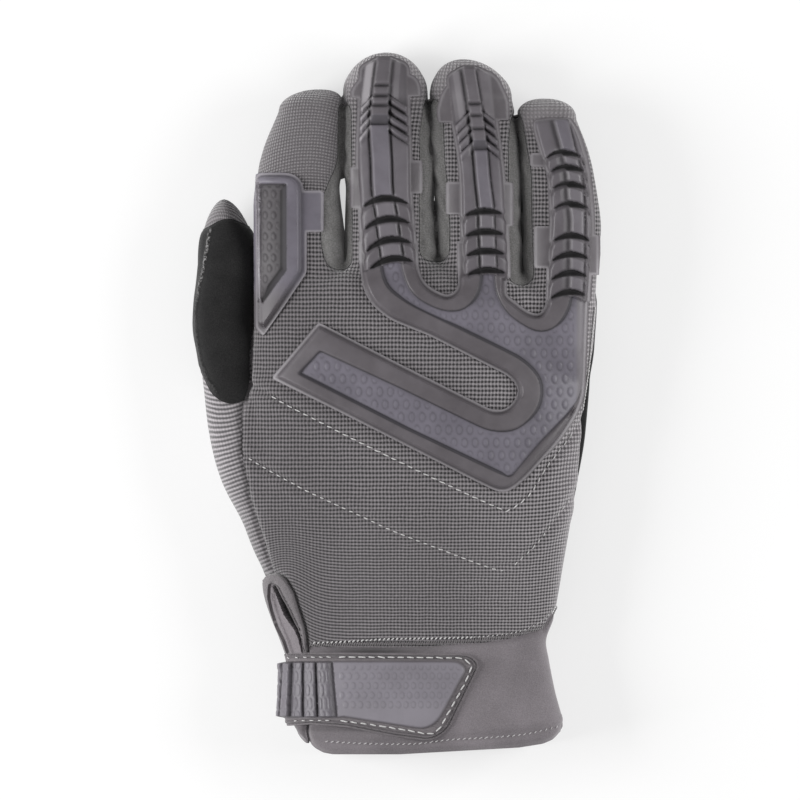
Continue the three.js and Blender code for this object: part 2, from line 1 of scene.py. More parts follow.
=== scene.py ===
import bpy
import math
import numpy as np
import openvdb
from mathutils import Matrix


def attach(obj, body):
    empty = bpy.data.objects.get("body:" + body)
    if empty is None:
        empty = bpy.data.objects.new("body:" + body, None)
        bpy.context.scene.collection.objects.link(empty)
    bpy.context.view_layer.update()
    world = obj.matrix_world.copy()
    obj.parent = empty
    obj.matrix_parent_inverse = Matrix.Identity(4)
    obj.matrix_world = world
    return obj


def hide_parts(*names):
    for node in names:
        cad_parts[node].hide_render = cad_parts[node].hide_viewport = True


# Work glove lying palm down. Lengths here are millimetres, and meshes are scaled to metres at the end.
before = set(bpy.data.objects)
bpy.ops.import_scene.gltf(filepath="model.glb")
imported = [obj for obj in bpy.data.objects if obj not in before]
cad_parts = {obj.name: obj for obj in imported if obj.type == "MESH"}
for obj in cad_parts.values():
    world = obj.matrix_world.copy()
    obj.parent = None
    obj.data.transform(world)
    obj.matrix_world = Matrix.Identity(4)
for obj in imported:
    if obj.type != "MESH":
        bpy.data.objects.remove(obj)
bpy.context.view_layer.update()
mm = 0.001
dice = np.random.default_rng(11)


def table(names, *rows):
    # short table with named columns
    return dict(zip(names.split(), np.array(rows, float).T))


def along(rows, name):
    # one column of a table as a smooth curve against y
    order = np.argsort(rows["y"])
    ys, values = rows["y"][order], rows[name][order]
    slopes = np.gradient(values, ys)

    def at(y):
        y = np.clip(y, ys[0], ys[-1])
        i = np.clip(np.searchsorted(ys, y) - 1, 0, len(ys) - 2)
        step = ys[i + 1] - ys[i]
        t = (y - ys[i]) / step
        ends = (1 + 2 * t) * (1 - t) ** 2 * values[i] + t * t * (3 - 2 * t) * values[i + 1]
        return ends + step * (t * (1 - t) ** 2 * slopes[i] + t * t * (t - 1) * slopes[i + 1])

    return at


def ramp(value, low, high):
    # 0 below low, 1 above high, smooth between
    t = np.clip((value - low) / (high - low), 0, 1)
    return t * t * (3 - 2 * t)


def bell(value, wide):
    # 1 at zero, falling off on both sides
    return np.exp(-((value / wide) ** 2))


def softMin(a, b, k):
    h = np.clip(k - np.abs(a - b), 0, None) / k
    return np.minimum(a, b) - h * h * k / 4


def softMax(a, b, k):
    return -softMin(-a, -b, k)


# The filled hand: sections along the glove, as in the part's source
midLine = table(
    "y z",
    (-130, 15.5), (-85, 15), (-40, 15), (10, 16), (45, 18), (70, 18), (88, 15.6), (101, 12.6),
    (112, 10.6), (130, 9.4),
)
bodyShape = dict(
    rows=table(
        "y left right low top",
        (-125, -36.7, 57.4, 2.8, 33), (-109, -36.9, 57.1, 2.6, 32.6), (-98, -36.4, 54.3, 2.4, 32),
        (-88, -36.8, 52.4, 2.2, 31.4), (-82, -38.8, 51.6, 2, 31), (-74, -42, 54.2, 0.6, 31),
        (-66, -44.6, 55.8, -2, 31.5), (-54, -45.6, 57.8, -2, 32.5), (-40, -49.2, 60.2, -2, 33.5),
        (-26, -51.9, 62.6, -2, 34), (-12, -53.2, 65, -2, 34), (1, -52.8, 66.1, -2, 34),
        (15, -51.2, 67.1, -2, 33.5), (29, -49.3, 68.3, -1.5, 32.6), (49, -48, 68.8, 1.5, 31),
    ),
    backRound=2.3, palmRound=3.4, littleSideFall=0.12,
    domeStart=37, domeLength=12, setbackX=12, setbackY=10, setbackReach=56, setbackMost=7,
)
fingers = dict(
    index=dict(tip=(-26.3, 108.4), rows=table(
        "x y half rise",
        (-32.9, 22, 14.6, 11.5), (-33.3, 53, 15.5, 11), (-33.4, 58.5, 15.5, 10.75),
        (-33.65, 62, 15.3, 10.6), (-33.85, 70, 14.65, 10.3), (-33.7, 75, 14.3, 10.15),
        (-33.2, 79.5, 14.6, 10), (-32.1, 87.5, 13.9, 9.8), (-29.4, 100.8, 11.2, 9),
    )),
    middle=dict(tip=(-3.6, 121.2), tipRound=2, rows=table(
        "x y half rise",
        (-1.7, 22, 16.1, 11.5), (-1.8, 53, 16.2, 11), (-1.9, 62, 15.8, 10.6), (-2.35, 70, 15.25, 10.3),
        (-2.3, 75, 15.4, 10.15), (-2.5, 79.5, 15.9, 10), (-3, 87.5, 15.6, 9.8), (-3.6, 101, 15.2, 9.3),
        (-3.9, 106, 14.7, 9.1),
    )),
    ring=dict(tip=(23, 118.8), tipRound=2, rows=table(
        "x y half rise",
        (28.9, 22, 14.6, 11.5), (28.6, 53, 14.7, 11), (28.2, 62, 14.9, 10.6), (28.2, 70, 14.9, 10.3),
        (27.6, 79.5, 15.3, 10), (26.9, 87.5, 15.5, 9.8), (26.2, 99, 14.9, 9.3), (25.6, 105, 14.2, 9.1),
    )),
    little=dict(tip=(51.1, 105.2), rows=table(
        "x y half rise",
        (55.4, 22, 12.4, 11), (56.2, 40, 12.7, 10.4), (56.6, 50, 12.9, 10.2), (57, 60, 13.6, 9.8),
        (56.05, 73.7, 13, 9.4), (54.2, 87.5, 11.9, 9), (51.6, 98, 10.4, 8.6),
    )),
)
thumb = dict(tip=(-59.6, 70.6), tipRound=1.75, rows=table(
    "x y z half rise",
    (-35, -60, 14, 12.5, 11), (-40.5, -41, 13.6, 12.6, 11.6), (-48.2, -26, 13, 12.4, 11.8),
    (-53, -10, 12.4, 11.6, 11.6), (-57, 8, 12, 9.8, 11.2), (-59.2, 28.8, 12, 10.7, 11.2),
    (-58.6, 41, 12, 10.2, 11), (-58, 48, 11.8, 10, 10.8),
))
handBlend = dict(
    fingers=3.0, thumbRoot=5.0, thumbFree=0.4, thumbRootY=(-14, 8), rest=1.0,
    fingerRound=2.3, startReach=16, bendMost=1.2, tipFull=0.6,
)

midAt = along(midLine, "z")


def tubeDistance(u, v, w, halfU, halfV, halfW, power):
    # distance to a rounded section, whose u, v and w are shares of its half sizes
    a, b, c = np.abs(u) + 1e-4, np.abs(v) + 1e-4, np.abs(w) + 1e-4
    total = a**power + b**power + c**power
    slope = np.sqrt(
        (a ** (power - 1) / halfU) ** 2 + (b ** (power - 1) / halfV) ** 2 + (c ** (power - 1) / halfW) ** 2
    )
    return (total ** (1 / power) - 1) / (total ** ((1 - power) / power) * slope)


def bodyDistance(x, y, z):
    # distance to the palm and wrist, whose finger end is a dome set back on the little finger side
    s = bodyShape
    side = np.clip((x - s["setbackX"]) / s["setbackReach"], 0, None)
    back = ramp(y, s["setbackY"], s["domeStart"] + s["domeLength"]) * side * s["setbackMost"]
    left, right = along(s["rows"], "left")(y), along(s["rows"], "right")(y)
    mid = midAt(y)
    half = (right - left) / 2
    u = (x - (left + right) / 2) / half
    up = (along(s["rows"], "top")(y) - mid) * (1 - s["littleSideFall"] * np.clip(u, -1, 1))
    down = mid - along(s["rows"], "low")(y)
    above = z > mid
    rise = np.where(above, up, down)
    power = np.where(above, s["backRound"], s["palmRound"])
    w = np.clip((y + back - s["domeStart"]) / s["domeLength"], 0, None)
    return tubeDistance(u, (z - mid) / rise, w, half, rise, s["domeLength"], power)


def fingerDistance(shape, x, y, z):
    # distance to one finger, or to the thumb, whose rows give its own height
    rows, h = shape["rows"], handBlend
    last = rows["y"][-1]
    reach = shape["tip"][1] - last
    mid = along(rows, "z")(y) if "z" in rows else midAt(y)
    w = np.clip((y - last) / reach, 0, None)
    centre = along(rows, "x")(y) + (shape["tip"][0] - rows["x"][-1]) * np.clip(w, 0, h["bendMost"]) ** 2
    half, rise = along(rows, "half")(y), along(rows, "rise")(y)
    plain = h["fingerRound"]
    power = plain + (shape.get("tipRound", plain) - plain) * ramp(w, 0, h["tipFull"])
    start = rows["y"][0] + (h["startReach"] if "z" in rows else 0)
    w = w + np.clip((start - y) / h["startReach"], 0, None)
    sizeW = np.where(y > last, reach, h["startReach"])
    return tubeDistance((x - centre) / half, (z - mid) / rise, w, half, rise, sizeW, power)


def handDistance(x, y, z):
    # everything but the thumb
    digits = None
    for shape in fingers.values():
        one = fingerDistance(shape, x, y, z)
        digits = one if digits is None else np.minimum(digits, one)
    return softMin(bodyDistance(x, y, z), digits, handBlend["fingers"])


def gloveDistance(x, y, z):
    free, root = handBlend["thumbFree"], handBlend["thumbRoot"]
    k = free + (root - free) * (1 - ramp(y, *handBlend["thumbRootY"]))
    whole = softMin(handDistance(x, y, z), fingerDistance(thumb, x, y, z), k)
    return softMax(whole, -z, handBlend["rest"])


def outward(points, step=0.35):
    # unit normals of the filled hand at points
    x, y, z = points.T
    slopes = np.stack([
        gloveDistance(x + step, y, z) - gloveDistance(x - step, y, z),
        gloveDistance(x, y + step, z) - gloveDistance(x, y - step, z),
        gloveDistance(x, y, z + step) - gloveDistance(x, y, z - step),
    ], axis=1)
    return slopes / (np.linalg.norm(slopes, axis=1, keepdims=True) + 1e-9)


def settle(points, times=2, most=0.8):
    # bring points onto the surface of the filled hand
    for _ in range(times):
        away = gloveDistance(points[:, 0], points[:, 1], points[:, 2])
        points = points - outward(points) * np.clip(away, -most, most)[:, None]
    return points


def meshGrid(low, high, step, distance):
    # triangles of the zero level of a distance function, on a grid of that step
    axes = [np.arange(a, b + step, step, dtype=np.float64) for a, b in zip(low, high)]
    x, y, z = axes[0][:, None, None], axes[1][None, :, None], axes[2][None, None, :]
    values = np.broadcast_to(distance(x, y, z), [len(a) for a in axes]).astype(np.float32)
    grid = openvdb.FloatGrid(9.0)                # 9 mm stands for far away
    grid.copyFromArray(values)
    points, quads = grid.convertToQuads(isovalue=0.0)
    points = points.astype(float) * step + np.array(low)
    quads = quads.astype(np.int64)
    faces = np.concatenate([quads[:, [0, 1, 2]], quads[:, [0, 2, 3]]])
    return points, faces


def edgesOf(faces):
    # every edge once, and the three edges of each face: ab, bc, ca
    pairs = np.concatenate([faces[:, [0, 1]], faces[:, [1, 2]], faces[:, [2, 0]]])
    pairs = np.sort(pairs, axis=1)
    big = int(pairs.max()) + 1
    keys, first, inverse = np.unique(pairs[:, 0] * big + pairs[:, 1], return_index=True, return_inverse=True)
    return pairs[first], inverse.reshape(3, -1).T


def splitEdges(points, faces, edges, faceEdges, chosen, share=None):
    # new points on the chosen edges, and the faces round them cut up to match
    share = np.full(len(edges), 0.5) if share is None else share
    ids = np.full(len(edges), -1)
    ids[chosen] = len(points) + np.arange(chosen.sum())
    a, b = points[edges[chosen, 0]], points[edges[chosen, 1]]
    s = share[chosen][:, None]
    points = np.concatenate([points, a * (1 - s) + b * s])
    middle = ids[faceEdges]
    count = (middle >= 0).sum(axis=1)
    parts = [faces[count == 0]]
    for turn in range(3):
        f, m = np.roll(faces, -turn, axis=1), np.roll(middle, -turn, axis=1)
        one = (count == 1) & (m[:, 0] >= 0)
        a, b, c, ab = f[one, 0], f[one, 1], f[one, 2], m[one, 0]
        parts += [np.stack([a, ab, c], 1), np.stack([ab, b, c], 1)]
        two = (count == 2) & (m[:, 2] < 0)
        a, b, c, ab, bc = f[two, 0], f[two, 1], f[two, 2], m[two, 0], m[two, 1]
        parts += [np.stack([ab, b, bc], 1), np.stack([a, ab, bc], 1), np.stack([a, bc, c], 1)]
    three = count == 3
    (a, b, c), (ab, bc, ca) = faces[three].T, middle[three].T
    parts += [np.stack(t, 1) for t in ((a, ab, ca), (ab, b, bc), (ca, bc, c), (ab, bc, ca))]
    return points, np.concatenate(parts)


def compact(points, faces):
    # leave out the points that no face uses
    used, inverse = np.unique(faces, return_inverse=True)
    return points[used], inverse.reshape(faces.shape)


def divide(points, faces, field):
    # cut a mesh along the zero line of a field: (part where it is above zero, part below)
    value = field(points[:, 0], points[:, 1], points[:, 2])
    value = np.where(np.abs(value) < 1e-5, 1e-5, value)
    edges, faceEdges = edgesOf(faces)
    va, vb = value[edges[:, 0]], value[edges[:, 1]]
    crossing = va * vb < 0
    share = np.where(crossing, va / np.where(crossing, va - vb, 1), 0.5)
    points, faces = splitEdges(points, faces, edges, faceEdges, crossing, share)
    value = np.concatenate([value, np.zeros(crossing.sum())])
    above = value[faces].sum(axis=1) > 0
    return compact(points, faces[above]), compact(points, faces[~above])


def rimOf(faces):
    # the edges that only one face has, in that face's direction
    pairs = np.concatenate([faces[:, [0, 1]], faces[:, [1, 2]], faces[:, [2, 0]]])
    big = int(faces.max()) + 1
    keys = pairs.min(axis=1) * big + pairs.max(axis=1)
    _, inverse, counts = np.unique(keys, return_inverse=True, return_counts=True)
    return pairs[counts[inverse.ravel()] == 1]


def nearest(points, others, chunk=2500):
    # distance from each point to the nearest of the others
    out = np.empty(len(points))
    square = (others**2).sum(axis=1)
    for i in range(0, len(points), chunk):
        part = points[i:i + chunk]
        gaps = (part**2).sum(axis=1)[:, None] + square[None] - 2 * part @ others.T
        out[i:i + chunk] = np.sqrt(np.clip(gaps.min(axis=1), 0, None))
    return out


def splitInside(points, faces, longest, wanted):
    # halve the edges that are longer than longest and wanted, apart from those on the rim
    edges, faceEdges = edgesOf(faces)
    length = np.linalg.norm(points[edges[:, 0], :3] - points[edges[:, 1], :3], axis=1)
    counts = np.bincount(faceEdges.ravel(), minlength=len(edges))
    return splitEdges(points, faces, edges, faceEdges, (length > longest) & wanted(edges) & (counts == 2))


def spreadOver(points, faces, normals, way, rounds=500):
    # a measure over the cloth that grows evenly in one way, found by conjugate gradients
    edges, _ = edgesOf(faces)
    i, j = edges[:, 0], edges[:, 1]
    guide = np.cross(np.array([0, 1.0, 0]), normals)
    size = np.linalg.norm(guide, axis=1, keepdims=True)
    guide = guide / np.maximum(size, 0.25)
    if way == "length":
        guide = np.cross(normals, guide)
    wish = ((guide[i] + guide[j]) / 2 * (points[j, :3] - points[i, :3])).sum(axis=1)
    count = len(points)

    def pull(value):
        gap = value[j] - value[i]
        return np.bincount(j, gap, count) - np.bincount(i, gap, count)

    value = points[:, 0 if way == "width" else 1].copy()
    left = np.bincount(j, wish, count) - np.bincount(i, wish, count) - pull(value)
    search = left.copy()
    power = left @ left
    for _ in range(rounds):
        pulled = pull(search)
        step = power / (search @ pulled + 1e-12)
        value += step * search
        left -= step * pulled
        fresh = left @ left
        if fresh < 1e-4:
            break
        search = left + fresh / power * search
        power = fresh
    return value


def cutAt(points, axis=0):
    # y of an open line at x, or x at y when axis is 1
    p = np.array(points, float)
    p = p[np.argsort(p[:, axis])]
    return lambda t: np.interp(t, p[:, axis], p[:, 1 - axis])


# Seams of the glove seen from above
seams = dict(
    wrist=[(-80, -84.4), (5, -84), (28.8, -82.6), (39.2, -81.2), (51.2, -78.1), (56, -69.5), (80, -69.5)],
    cuffEnd=[
        (-80, -110.6), (-36.6, -110.9), (-35.2, -112.5), (-34.2, -114.8), (-32.4, -116.7),
        (-31.2, -117.4), (-30.8, -115.6), (-29.8, -117.6), (-28.2, -119), (-25.6, -120.4), (-22.4, -121),
        (1.2, -121), (42.6, -118.7), (51, -117.4), (54.5, -116), (57, -113.4), (80, -104),
    ],
    thumbBase=[
        (-49.4, 16), (-50.2, 9.5), (-50.9, 6.7), (-52.3, 2.2), (-53.5, -4), (-53.5, -18), (-51.9, -25.7),
        (-50.9, -32.9), (-48.3, -41.2), (-45.7, -49.2), (-43.6, -56.8), (-42.4, -62),
    ],
    slit=[(-41.6, -60.5), (-39, -68), (-35.6, -76), (-31.6, -84), (-31, -125)],
    slitHalf=0.4,
    slitFrom=-80,            # the thin cut under the strap starts at this y
    sideRise=-1.6,           # the back meets the palm this far from the mid line
    # where the palm shows on the little finger side
    sliver=dict(most=5.2, y=-8, above=38, below=18, x=30, fade=10),
    thumbFoot=-61,
    thumbTurn=(6, 15),       # above this the seam of the thumb follows the web
)
# dark is how strong the painted shade is low between each two fingers
fourchettes = dict(
    fourchette_index_middle=dict(
        left=[
            (-19.2, 103), (-19.4, 86), (-20, 82), (-22.6, 76.6), (-25.4, 70.4), (-26.1, 61.6),
            (-25.4, 54), (-24, 48),
        ],
        right=[(-16.4, 103), (-16.2, 82), (-16.1, 48)],
        foot=46.8, end=104, dark=0.3),
    fourchette_middle_ring=dict(
        left=[(10.8, 107), (8.7, 94), (8.4, 70), (8.4, 48)],
        right=[(13.6, 107), (15.6, 98), (16, 85), (17.2, 72), (17.8, 60), (17.6, 48)],
        foot=49.6, end=105.5, dark=0.9),
    fourchette_ring_little=dict(
        left=[(40.6, 101), (39.3, 90), (39.2, 46)],
        right=[(41.9, 101), (42.6, 97.6), (44.3, 88), (45.8, 80), (46, 62), (46.8, 42)],
        foot=41.6, end=101, dark=0.9),
)
sideCut = dict(sides=1.5, ends=2, corners=4, depth=4.5, foot=1)
panelSew = dict(
    dip=1.2, reach=1.15, sideDip=0.9, sideReach=1.5,
    fineWithin=2.4, fineQuilt=2.2, fineEdge=0.55, wall=1.2, cuffWall=2.2,
)


def roundOff(points, radius=0, steps=4):
    # an outline whose corners are rounded: each point may carry its own radius
    rows = [(p[0], p[1], p[2] if len(p) > 2 else radius) for p in points]
    out = []
    for i, (x, y, r) in enumerate(rows):
        at = np.array([x, y], float)
        if not r:
            out.append(at)
            continue
        sides = [np.array(rows[k][:2]) - at for k in (i - 1, (i + 1) % len(rows))]
        enter, leave = [at + v / np.linalg.norm(v) * min(r, np.linalg.norm(v) * 0.48) for v in sides]
        for k in range(steps + 1):
            t = k / steps
            out.append((1 - t) ** 2 * enter + 2 * t * (1 - t) * at + t * t * leave)
    return np.array(out)


def within(shape, x, y):
    # distance to an outline seen from above, positive inside it
    best, odd = np.full(x.shape, 1e9), np.zeros(x.shape, bool)
    for (ax, ay), (bx, by) in zip(shape, np.roll(shape, -1, axis=0)):
        ex, ey = bx - ax, by - ay
        size = ex * ex + ey * ey
        if size < 1e-12:
            continue
        t = np.clip(((x - ax) * ex + (y - ay) * ey) / size, 0, 1)
        best = np.minimum(best, (x - ax - t * ex) ** 2 + (y - ay - t * ey) ** 2)
        if ey:
            odd ^= ((ay > y) != (by > y)) & (x < ex * (y - ay) / ey + ax)
    return np.where(odd, 1, -1) * np.sqrt(best)


def planCut(outline, foot):
    # field of the part of the hand under an outline seen from above, down to foot above the mid line
    def field(x, y, z):
        return np.where(z > midAt(y) + foot, np.minimum(within(outline, x, y), z - midAt(y) - foot), -1.0)

    return field


# The slit at the wrist: piping round it, a soft tongue under it and the gap between, painted dark as shade
slitLook = dict(
    lens=[
        (-60, -61.7), (-46.4, -61.7, 1.5), (-44.2, -58.7, 2), (-40.8, -58.8, 1.5), (-38.4, -60.6, 1),
        (-35.6, -65.6), (-34.5, -69.4), (-33.3, -73), (-32.1, -76.8), (-31.4, -80.4), (-30.9, -86.8),
        (-60, -86.8),
    ],
    tongue=[
        (-42.9, -61.6, 0.8), (-43.2, -63.4), (-43.3, -66.8), (-42.3, -71.2), (-40.6, -76.4), (-38, -81.8),
        (-36, -88), (-31.2, -88), (-32.8, -81.4), (-34.3, -77.6), (-37.8, -72.8), (-40, -67.3),
        (-42, -62.4, 0.5),
    ],
    gap=[
        (-42.3, -61.9), (-40.3, -63.6), (-38.4, -67.4), (-36.7, -70.4), (-35, -74.2), (-33.4, -77.6),
        (-32.3, -81.6), (-31.5, -86.4), (-32.2, -86.4), (-33.3, -81.4), (-34.9, -77.6), (-36.6, -75.4),
        (-38.1, -72.9), (-39.1, -70.7), (-40.3, -67.4),
    ],
    foot=2.0, gapDepth=-1.2, pipeLow=0.45, pipeRise=1.1, pipeHalf=1.0, pipeBase=-1.5,
    tongueLow=0.35, tongueRise=0.5, tongueBase=-1.8, ridge=dict(inside=0.75, wide=0.3, rise=0.5),
)
lensOutline, tongueOutline = roundOff(slitLook["lens"]), roundOff(slitLook["tongue"])
gapOutline = roundOff(slitLook["gap"])


def thumbSide(x, y, z):
    # positive on the thumb: a line seen from above at its base, and the web further up
    plan = cutAt(seams["thumbBase"], 1)(y) - x
    plan = np.minimum(plan, y - seams["thumbFoot"])
    shape = handDistance(x, y, z) - fingerDistance(thumb, x, y, z)
    share = ramp(y, *seams["thumbTurn"])
    return plan * (1 - share) + shape * share


def fourchetteField(side):
    # positive on the side panels between two fingers
    left, right, s = cutAt(side["left"], 1), cutAt(side["right"], 1), sideCut

    def field(x, y, z):
        inside = softMin(x - left(y), right(y) - x, s["sides"])
        inside = softMin(inside, softMin(y - side["foot"], side["end"] - y, s["ends"]), s["corners"])
        return softMin(inside, z - midAt(y) + s["depth"], s["foot"])

    return field


def slitField(x, y, z):
    # the lens of the slit, and below it the thin cut that goes on to the end of the cuff
    route = cutAt(seams["slit"], 1)
    cut = np.minimum(seams["slitHalf"] - np.abs(x - route(y)), seams["slitFrom"] - y)
    return np.maximum(np.where(z > midAt(y), cut, -1), planCut(lensOutline, slitLook["foot"])(x, y, z))


def backField(x, y, z):
    # positive on the back of the hand, negative on the palm
    s = seams["sliver"]
    reach = np.where(y > s["y"], s["above"], s["below"])
    rise = s["most"] * bell(y - s["y"], reach) * ramp(x, s["x"], s["x"] + s["fade"])
    return z - midAt(y) - seams["sideRise"] - rise


clothLook = dict(wave=0.16, ripple=0.1, crease=0.42, creaseRise=(0.5, 5))


def waves(points):
    # slow unevenness of the cloth
    x, y, z = points[:, :3].T
    wave = clothLook["wave"] * np.sin(x / 7.3 + y / 11 + 0.4) * np.sin(y / 8.1 - z / 9)
    return wave + clothLook["ripple"] * np.sin(x / 3.9 - y / 5.7 + z / 4)


def creases(points):
    # slanting folds of the thin cloth between the fingers
    x, y, z = points[:, :3].T
    fold = clothLook["crease"] * np.sin(y / 1.9 + x / 1.7 + 2.4 * np.sin(y / 9 + z / 5))
    return fold * (0.5 + 0.5 * np.sin(y / 6.3 + x)) * ramp(z - midAt(y), *clothLook["creaseRise"])


def closeShell(outer, outerFaces, inner, innerFaces, rim):
    # outer and inner skin, whose first points match, joined round their rims
    n = len(outer)
    a, b = rim[:, 0], rim[:, 1]
    sides = np.concatenate([np.stack([b, a, a + n], 1), np.stack([b, a + n, b + n], 1)])
    return np.concatenate([outer, inner]), np.concatenate([outerFaces, innerFaces[:, ::-1] + n, sides])


def makePiece(name, points, faces, material, nodes=(), measures=(), sharp=40):
    # a mesh object on the glove's body, with its measures as attributes for the materials
    points, faces = compact(points, faces[(faces != np.roll(faces, 1, axis=1)).all(axis=1)])
    mesh = bpy.data.meshes.new(name)
    mesh.vertices.add(len(points))
    mesh.vertices.foreach_set("co", (points[:, :3] * mm).ravel())
    mesh.loops.add(faces.size)
    mesh.loops.foreach_set("vertex_index", faces.ravel())
    mesh.polygons.add(len(faces))
    mesh.polygons.foreach_set("loop_start", np.arange(len(faces)) * 3)
    for i, measure in enumerate(measures):
        mesh.attributes.new(measure, "FLOAT", "POINT").data.foreach_set("value", points[:, 3 + i])
    mesh.update(calc_edges=True)
    mesh.validate()
    mesh.shade_smooth()
    mesh.set_sharp_from_angle(angle=math.radians(sharp))
    mesh.materials.append(material)
    piece = bpy.data.objects.new(name, mesh)
    bpy.context.collection.objects.link(piece)
    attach(piece, "root")
    if nodes:
        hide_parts(*nodes)


class Finish:
    # a material with short ways to add nodes
    def __init__(self, name, color, roughness, **sockets):
        self.made = bpy.data.materials.new(name)
        self.made.use_nodes = True
        self.nodes, self.links = self.made.node_tree.nodes, self.made.node_tree.links
        self.shader = self.nodes["Principled BSDF"]
        self.shader.inputs["Base Color"].default_value = (*color, 1)
        self.shader.inputs["Roughness"].default_value = roughness
        for socket, value in sockets.items():
            self.shader.inputs[socket.replace("_", " ")].default_value = value

    def put(self, target, value):
        if isinstance(value, (int, float)):
            target.default_value = value
        else:
            self.links.new(value, target)

    def math(self, operation, *values, clamp=False):
        node = self.nodes.new("ShaderNodeMath")
        node.operation = operation
        node.use_clamp = clamp
        for i, value in enumerate(values):
            self.put(node.inputs[i], value)
        return node.outputs[0]

    def measure(self, name):
        node = self.nodes.new("ShaderNodeAttribute")
        node.attribute_name = name
        return node.outputs["Fac"]

    def noise(self, size, detail=2, rough=0.6, scale=(1, 1, 1)):
        # clouds of that size in millimetres, stretched by scale
        spot = self.nodes.new("ShaderNodeTexCoord").outputs["Object"]
        place = self.nodes.new("ShaderNodeMapping")
        place.inputs["Scale"].default_value = [s / mm for s in scale]
        self.links.new(spot, place.inputs["Vector"])
        node = self.nodes.new("ShaderNodeTexNoise")
        self.links.new(place.outputs[0], node.inputs["Vector"])
        node.inputs["Scale"].default_value = 1 / size
        node.inputs["Detail"].default_value = detail
        node.inputs["Roughness"].default_value = rough
        return node.outputs["Fac"]

    def range(self, value, low, high, to0=0.0, to1=1.0):
        node = self.nodes.new("ShaderNodeMapRange")
        for i, v in enumerate((value, low, high, to0, to1)):
            self.put(node.inputs[i], v)
        return node.outputs[0]

    def blend(self, share, first, second):
        # colour mix
        node = self.nodes.new("ShaderNodeMix")
        node.data_type = "RGBA"
        self.put(node.inputs[0], share)
        for i, color in ((6, first), (7, second)):
            if isinstance(color, tuple):
                node.inputs[i].default_value = (*color, 1)
            else:
                self.links.new(color, node.inputs[i])
        return node.outputs[2]

    def color(self, value):
        self.links.new(value, self.shader.inputs["Base Color"])

    def roughness(self, value):
        self.links.new(value, self.shader.inputs["Roughness"])

    def bump(self, height, depth):
        # height from 0 to 1, and depth in millimetres
        node = self.nodes.new("ShaderNodeBump")
        node.inputs["Strength"].default_value = 1.0
        node.inputs["Distance"].default_value = depth * mm
        self.links.new(height, node.inputs["Height"])
        self.links.new(node.outputs[0], self.shader.inputs["Normal"])

    def cover(self, share, look):
        # from dark to light by share, and to the painted shade colour where the piece is marked for painted
        # shade
        plain = self.blend(share, look["dark"], look["light"])
        self.color(self.blend(self.measure("deep"), plain, look["hollow"]) if "hollow" in look else plain)


knitLook = dict(
    course=1.5, wale=1.22, depth=0.4, wander=(0.7, -0.5), loop=(0.22, 0.05), row=0.3, closed=0.82,
    light=(0.215, 0.198, 0.209), paler=(0.46, 0.43, 0.45), dark=(0.018, 0.017, 0.018),
)


def knitFinish():
    # waffle knit: raised loops in rows and columns, with dark holes between
    k = knitLook
    f = Finish("back_knit", k["light"], 0.9, Sheen_Weight=0.6, Sheen_Roughness=0.5, Specular_IOR_Level=0.25)
    wobble = f.noise(6, 2, 0.5)
    across = f.math("ADD", f.measure("across"), f.math("MULTIPLY", wobble, k["wander"][0]))
    length = f.math("ADD", f.measure("length"), f.math("MULTIPLY", wobble, k["wander"][1]))
    wale = f.math("COSINE", f.math("MULTIPLY", across, 2 * math.pi / k["wale"]))
    course = f.math("COSINE", f.math("MULTIPLY", length, 2 * math.pi / k["course"]))
    wale = f.math("MULTIPLY", wale, f.range(f.measure("ribbed"), 0, 1, *k["loop"]))
    loops = f.math("ADD", wale, f.math("MULTIPLY", course, k["row"]))
    loops = f.math("ADD", loops, 0.5, clamp=True)
    uneven = f.noise(0.9, 3)
    f.bump(f.math("ADD", loops, f.math("MULTIPLY", uneven, 0.25)), k["depth"])
    share = f.range(loops, 0.16, 0.82)
    share = f.math("MULTIPLY", share, f.range(uneven, 0.2, 0.75, 0.7, 1.1), clamp=True)
    # lower openness closes the holes and tone turns the knit paler; both carry painted side light and sheen
    closed = f.math("SUBTRACT", 1.0, f.measure("openness"))
    share = f.math("MAXIMUM", share, f.math("MULTIPLY", closed, k["closed"]))
    f.color(f.blend(share, k["dark"], f.blend(f.measure("tone"), k["light"], k["paler"])))
    return f.made


# the last colour of each look is that of painted shade
sideLook = dict(dark=(0.13, 0.128, 0.125), light=(0.275, 0.268, 0.265), hollow=(0.008, 0.008, 0.008))
pipingLook = dict(dark=(0.115, 0.106, 0.111), light=(0.19, 0.175, 0.184), hollow=(0.008, 0.008, 0.008))


def sideFinish(name, look):
    # smooth stretch fabric of the finger sides and the piping, darker where shade is painted low between the
    # fingers
    f = Finish(name, look["light"], 0.85, Sheen_Weight=0.5, Sheen_Roughness=0.5, Specular_IOR_Level=0.2)
    grain = f.noise(0.45)
    f.cover(f.range(grain, 0.3, 0.7), look)
    f.bump(grain, 0.12)
    return f.made


suedeLook = dict(
    base=(0.012, 0.012, 0.013), dark=(0.006, 0.006, 0.0065),
    # the last colour is that of the welt's pale specks: painted highlight and wear
    light=(0.034, 0.033, 0.033), weltGlintAndWear=(0.24, 0.235, 0.235),
)


def suedeFinish():
    # black suede, with pale specks where the welt is marked: painted highlight of its raised ridge, and wear
    s = suedeLook
    f = Finish("palm_suede", s["base"], 0.9, Sheen_Weight=0.3, Sheen_Roughness=0.4, Specular_IOR_Level=0.2)
    nap = f.noise(0.35, 3, 0.7)
    patches = f.noise(9, 3)
    share = f.math("MULTIPLY", f.range(nap, 0.3, 0.7), f.range(patches, 0.3, 0.8, 0.4, 1))
    weltGlintAndWear = f.math("MULTIPLY", f.measure("deep"), f.range(f.noise(1.1, 3, 0.8), 0.48, 0.6))
    f.color(f.blend(weltGlintAndWear, f.blend(share, s["dark"], s["light"]), s["weltGlintAndWear"]))
    f.bump(nap, 0.1)
    return f.made


# the last colour is that of painted shade
cuffLook = dict(
    base=(0.19, 0.172, 0.182), dark=(0.155, 0.14, 0.15),
    light=(0.245, 0.222, 0.238), hollow=(0.006, 0.006, 0.006),
)


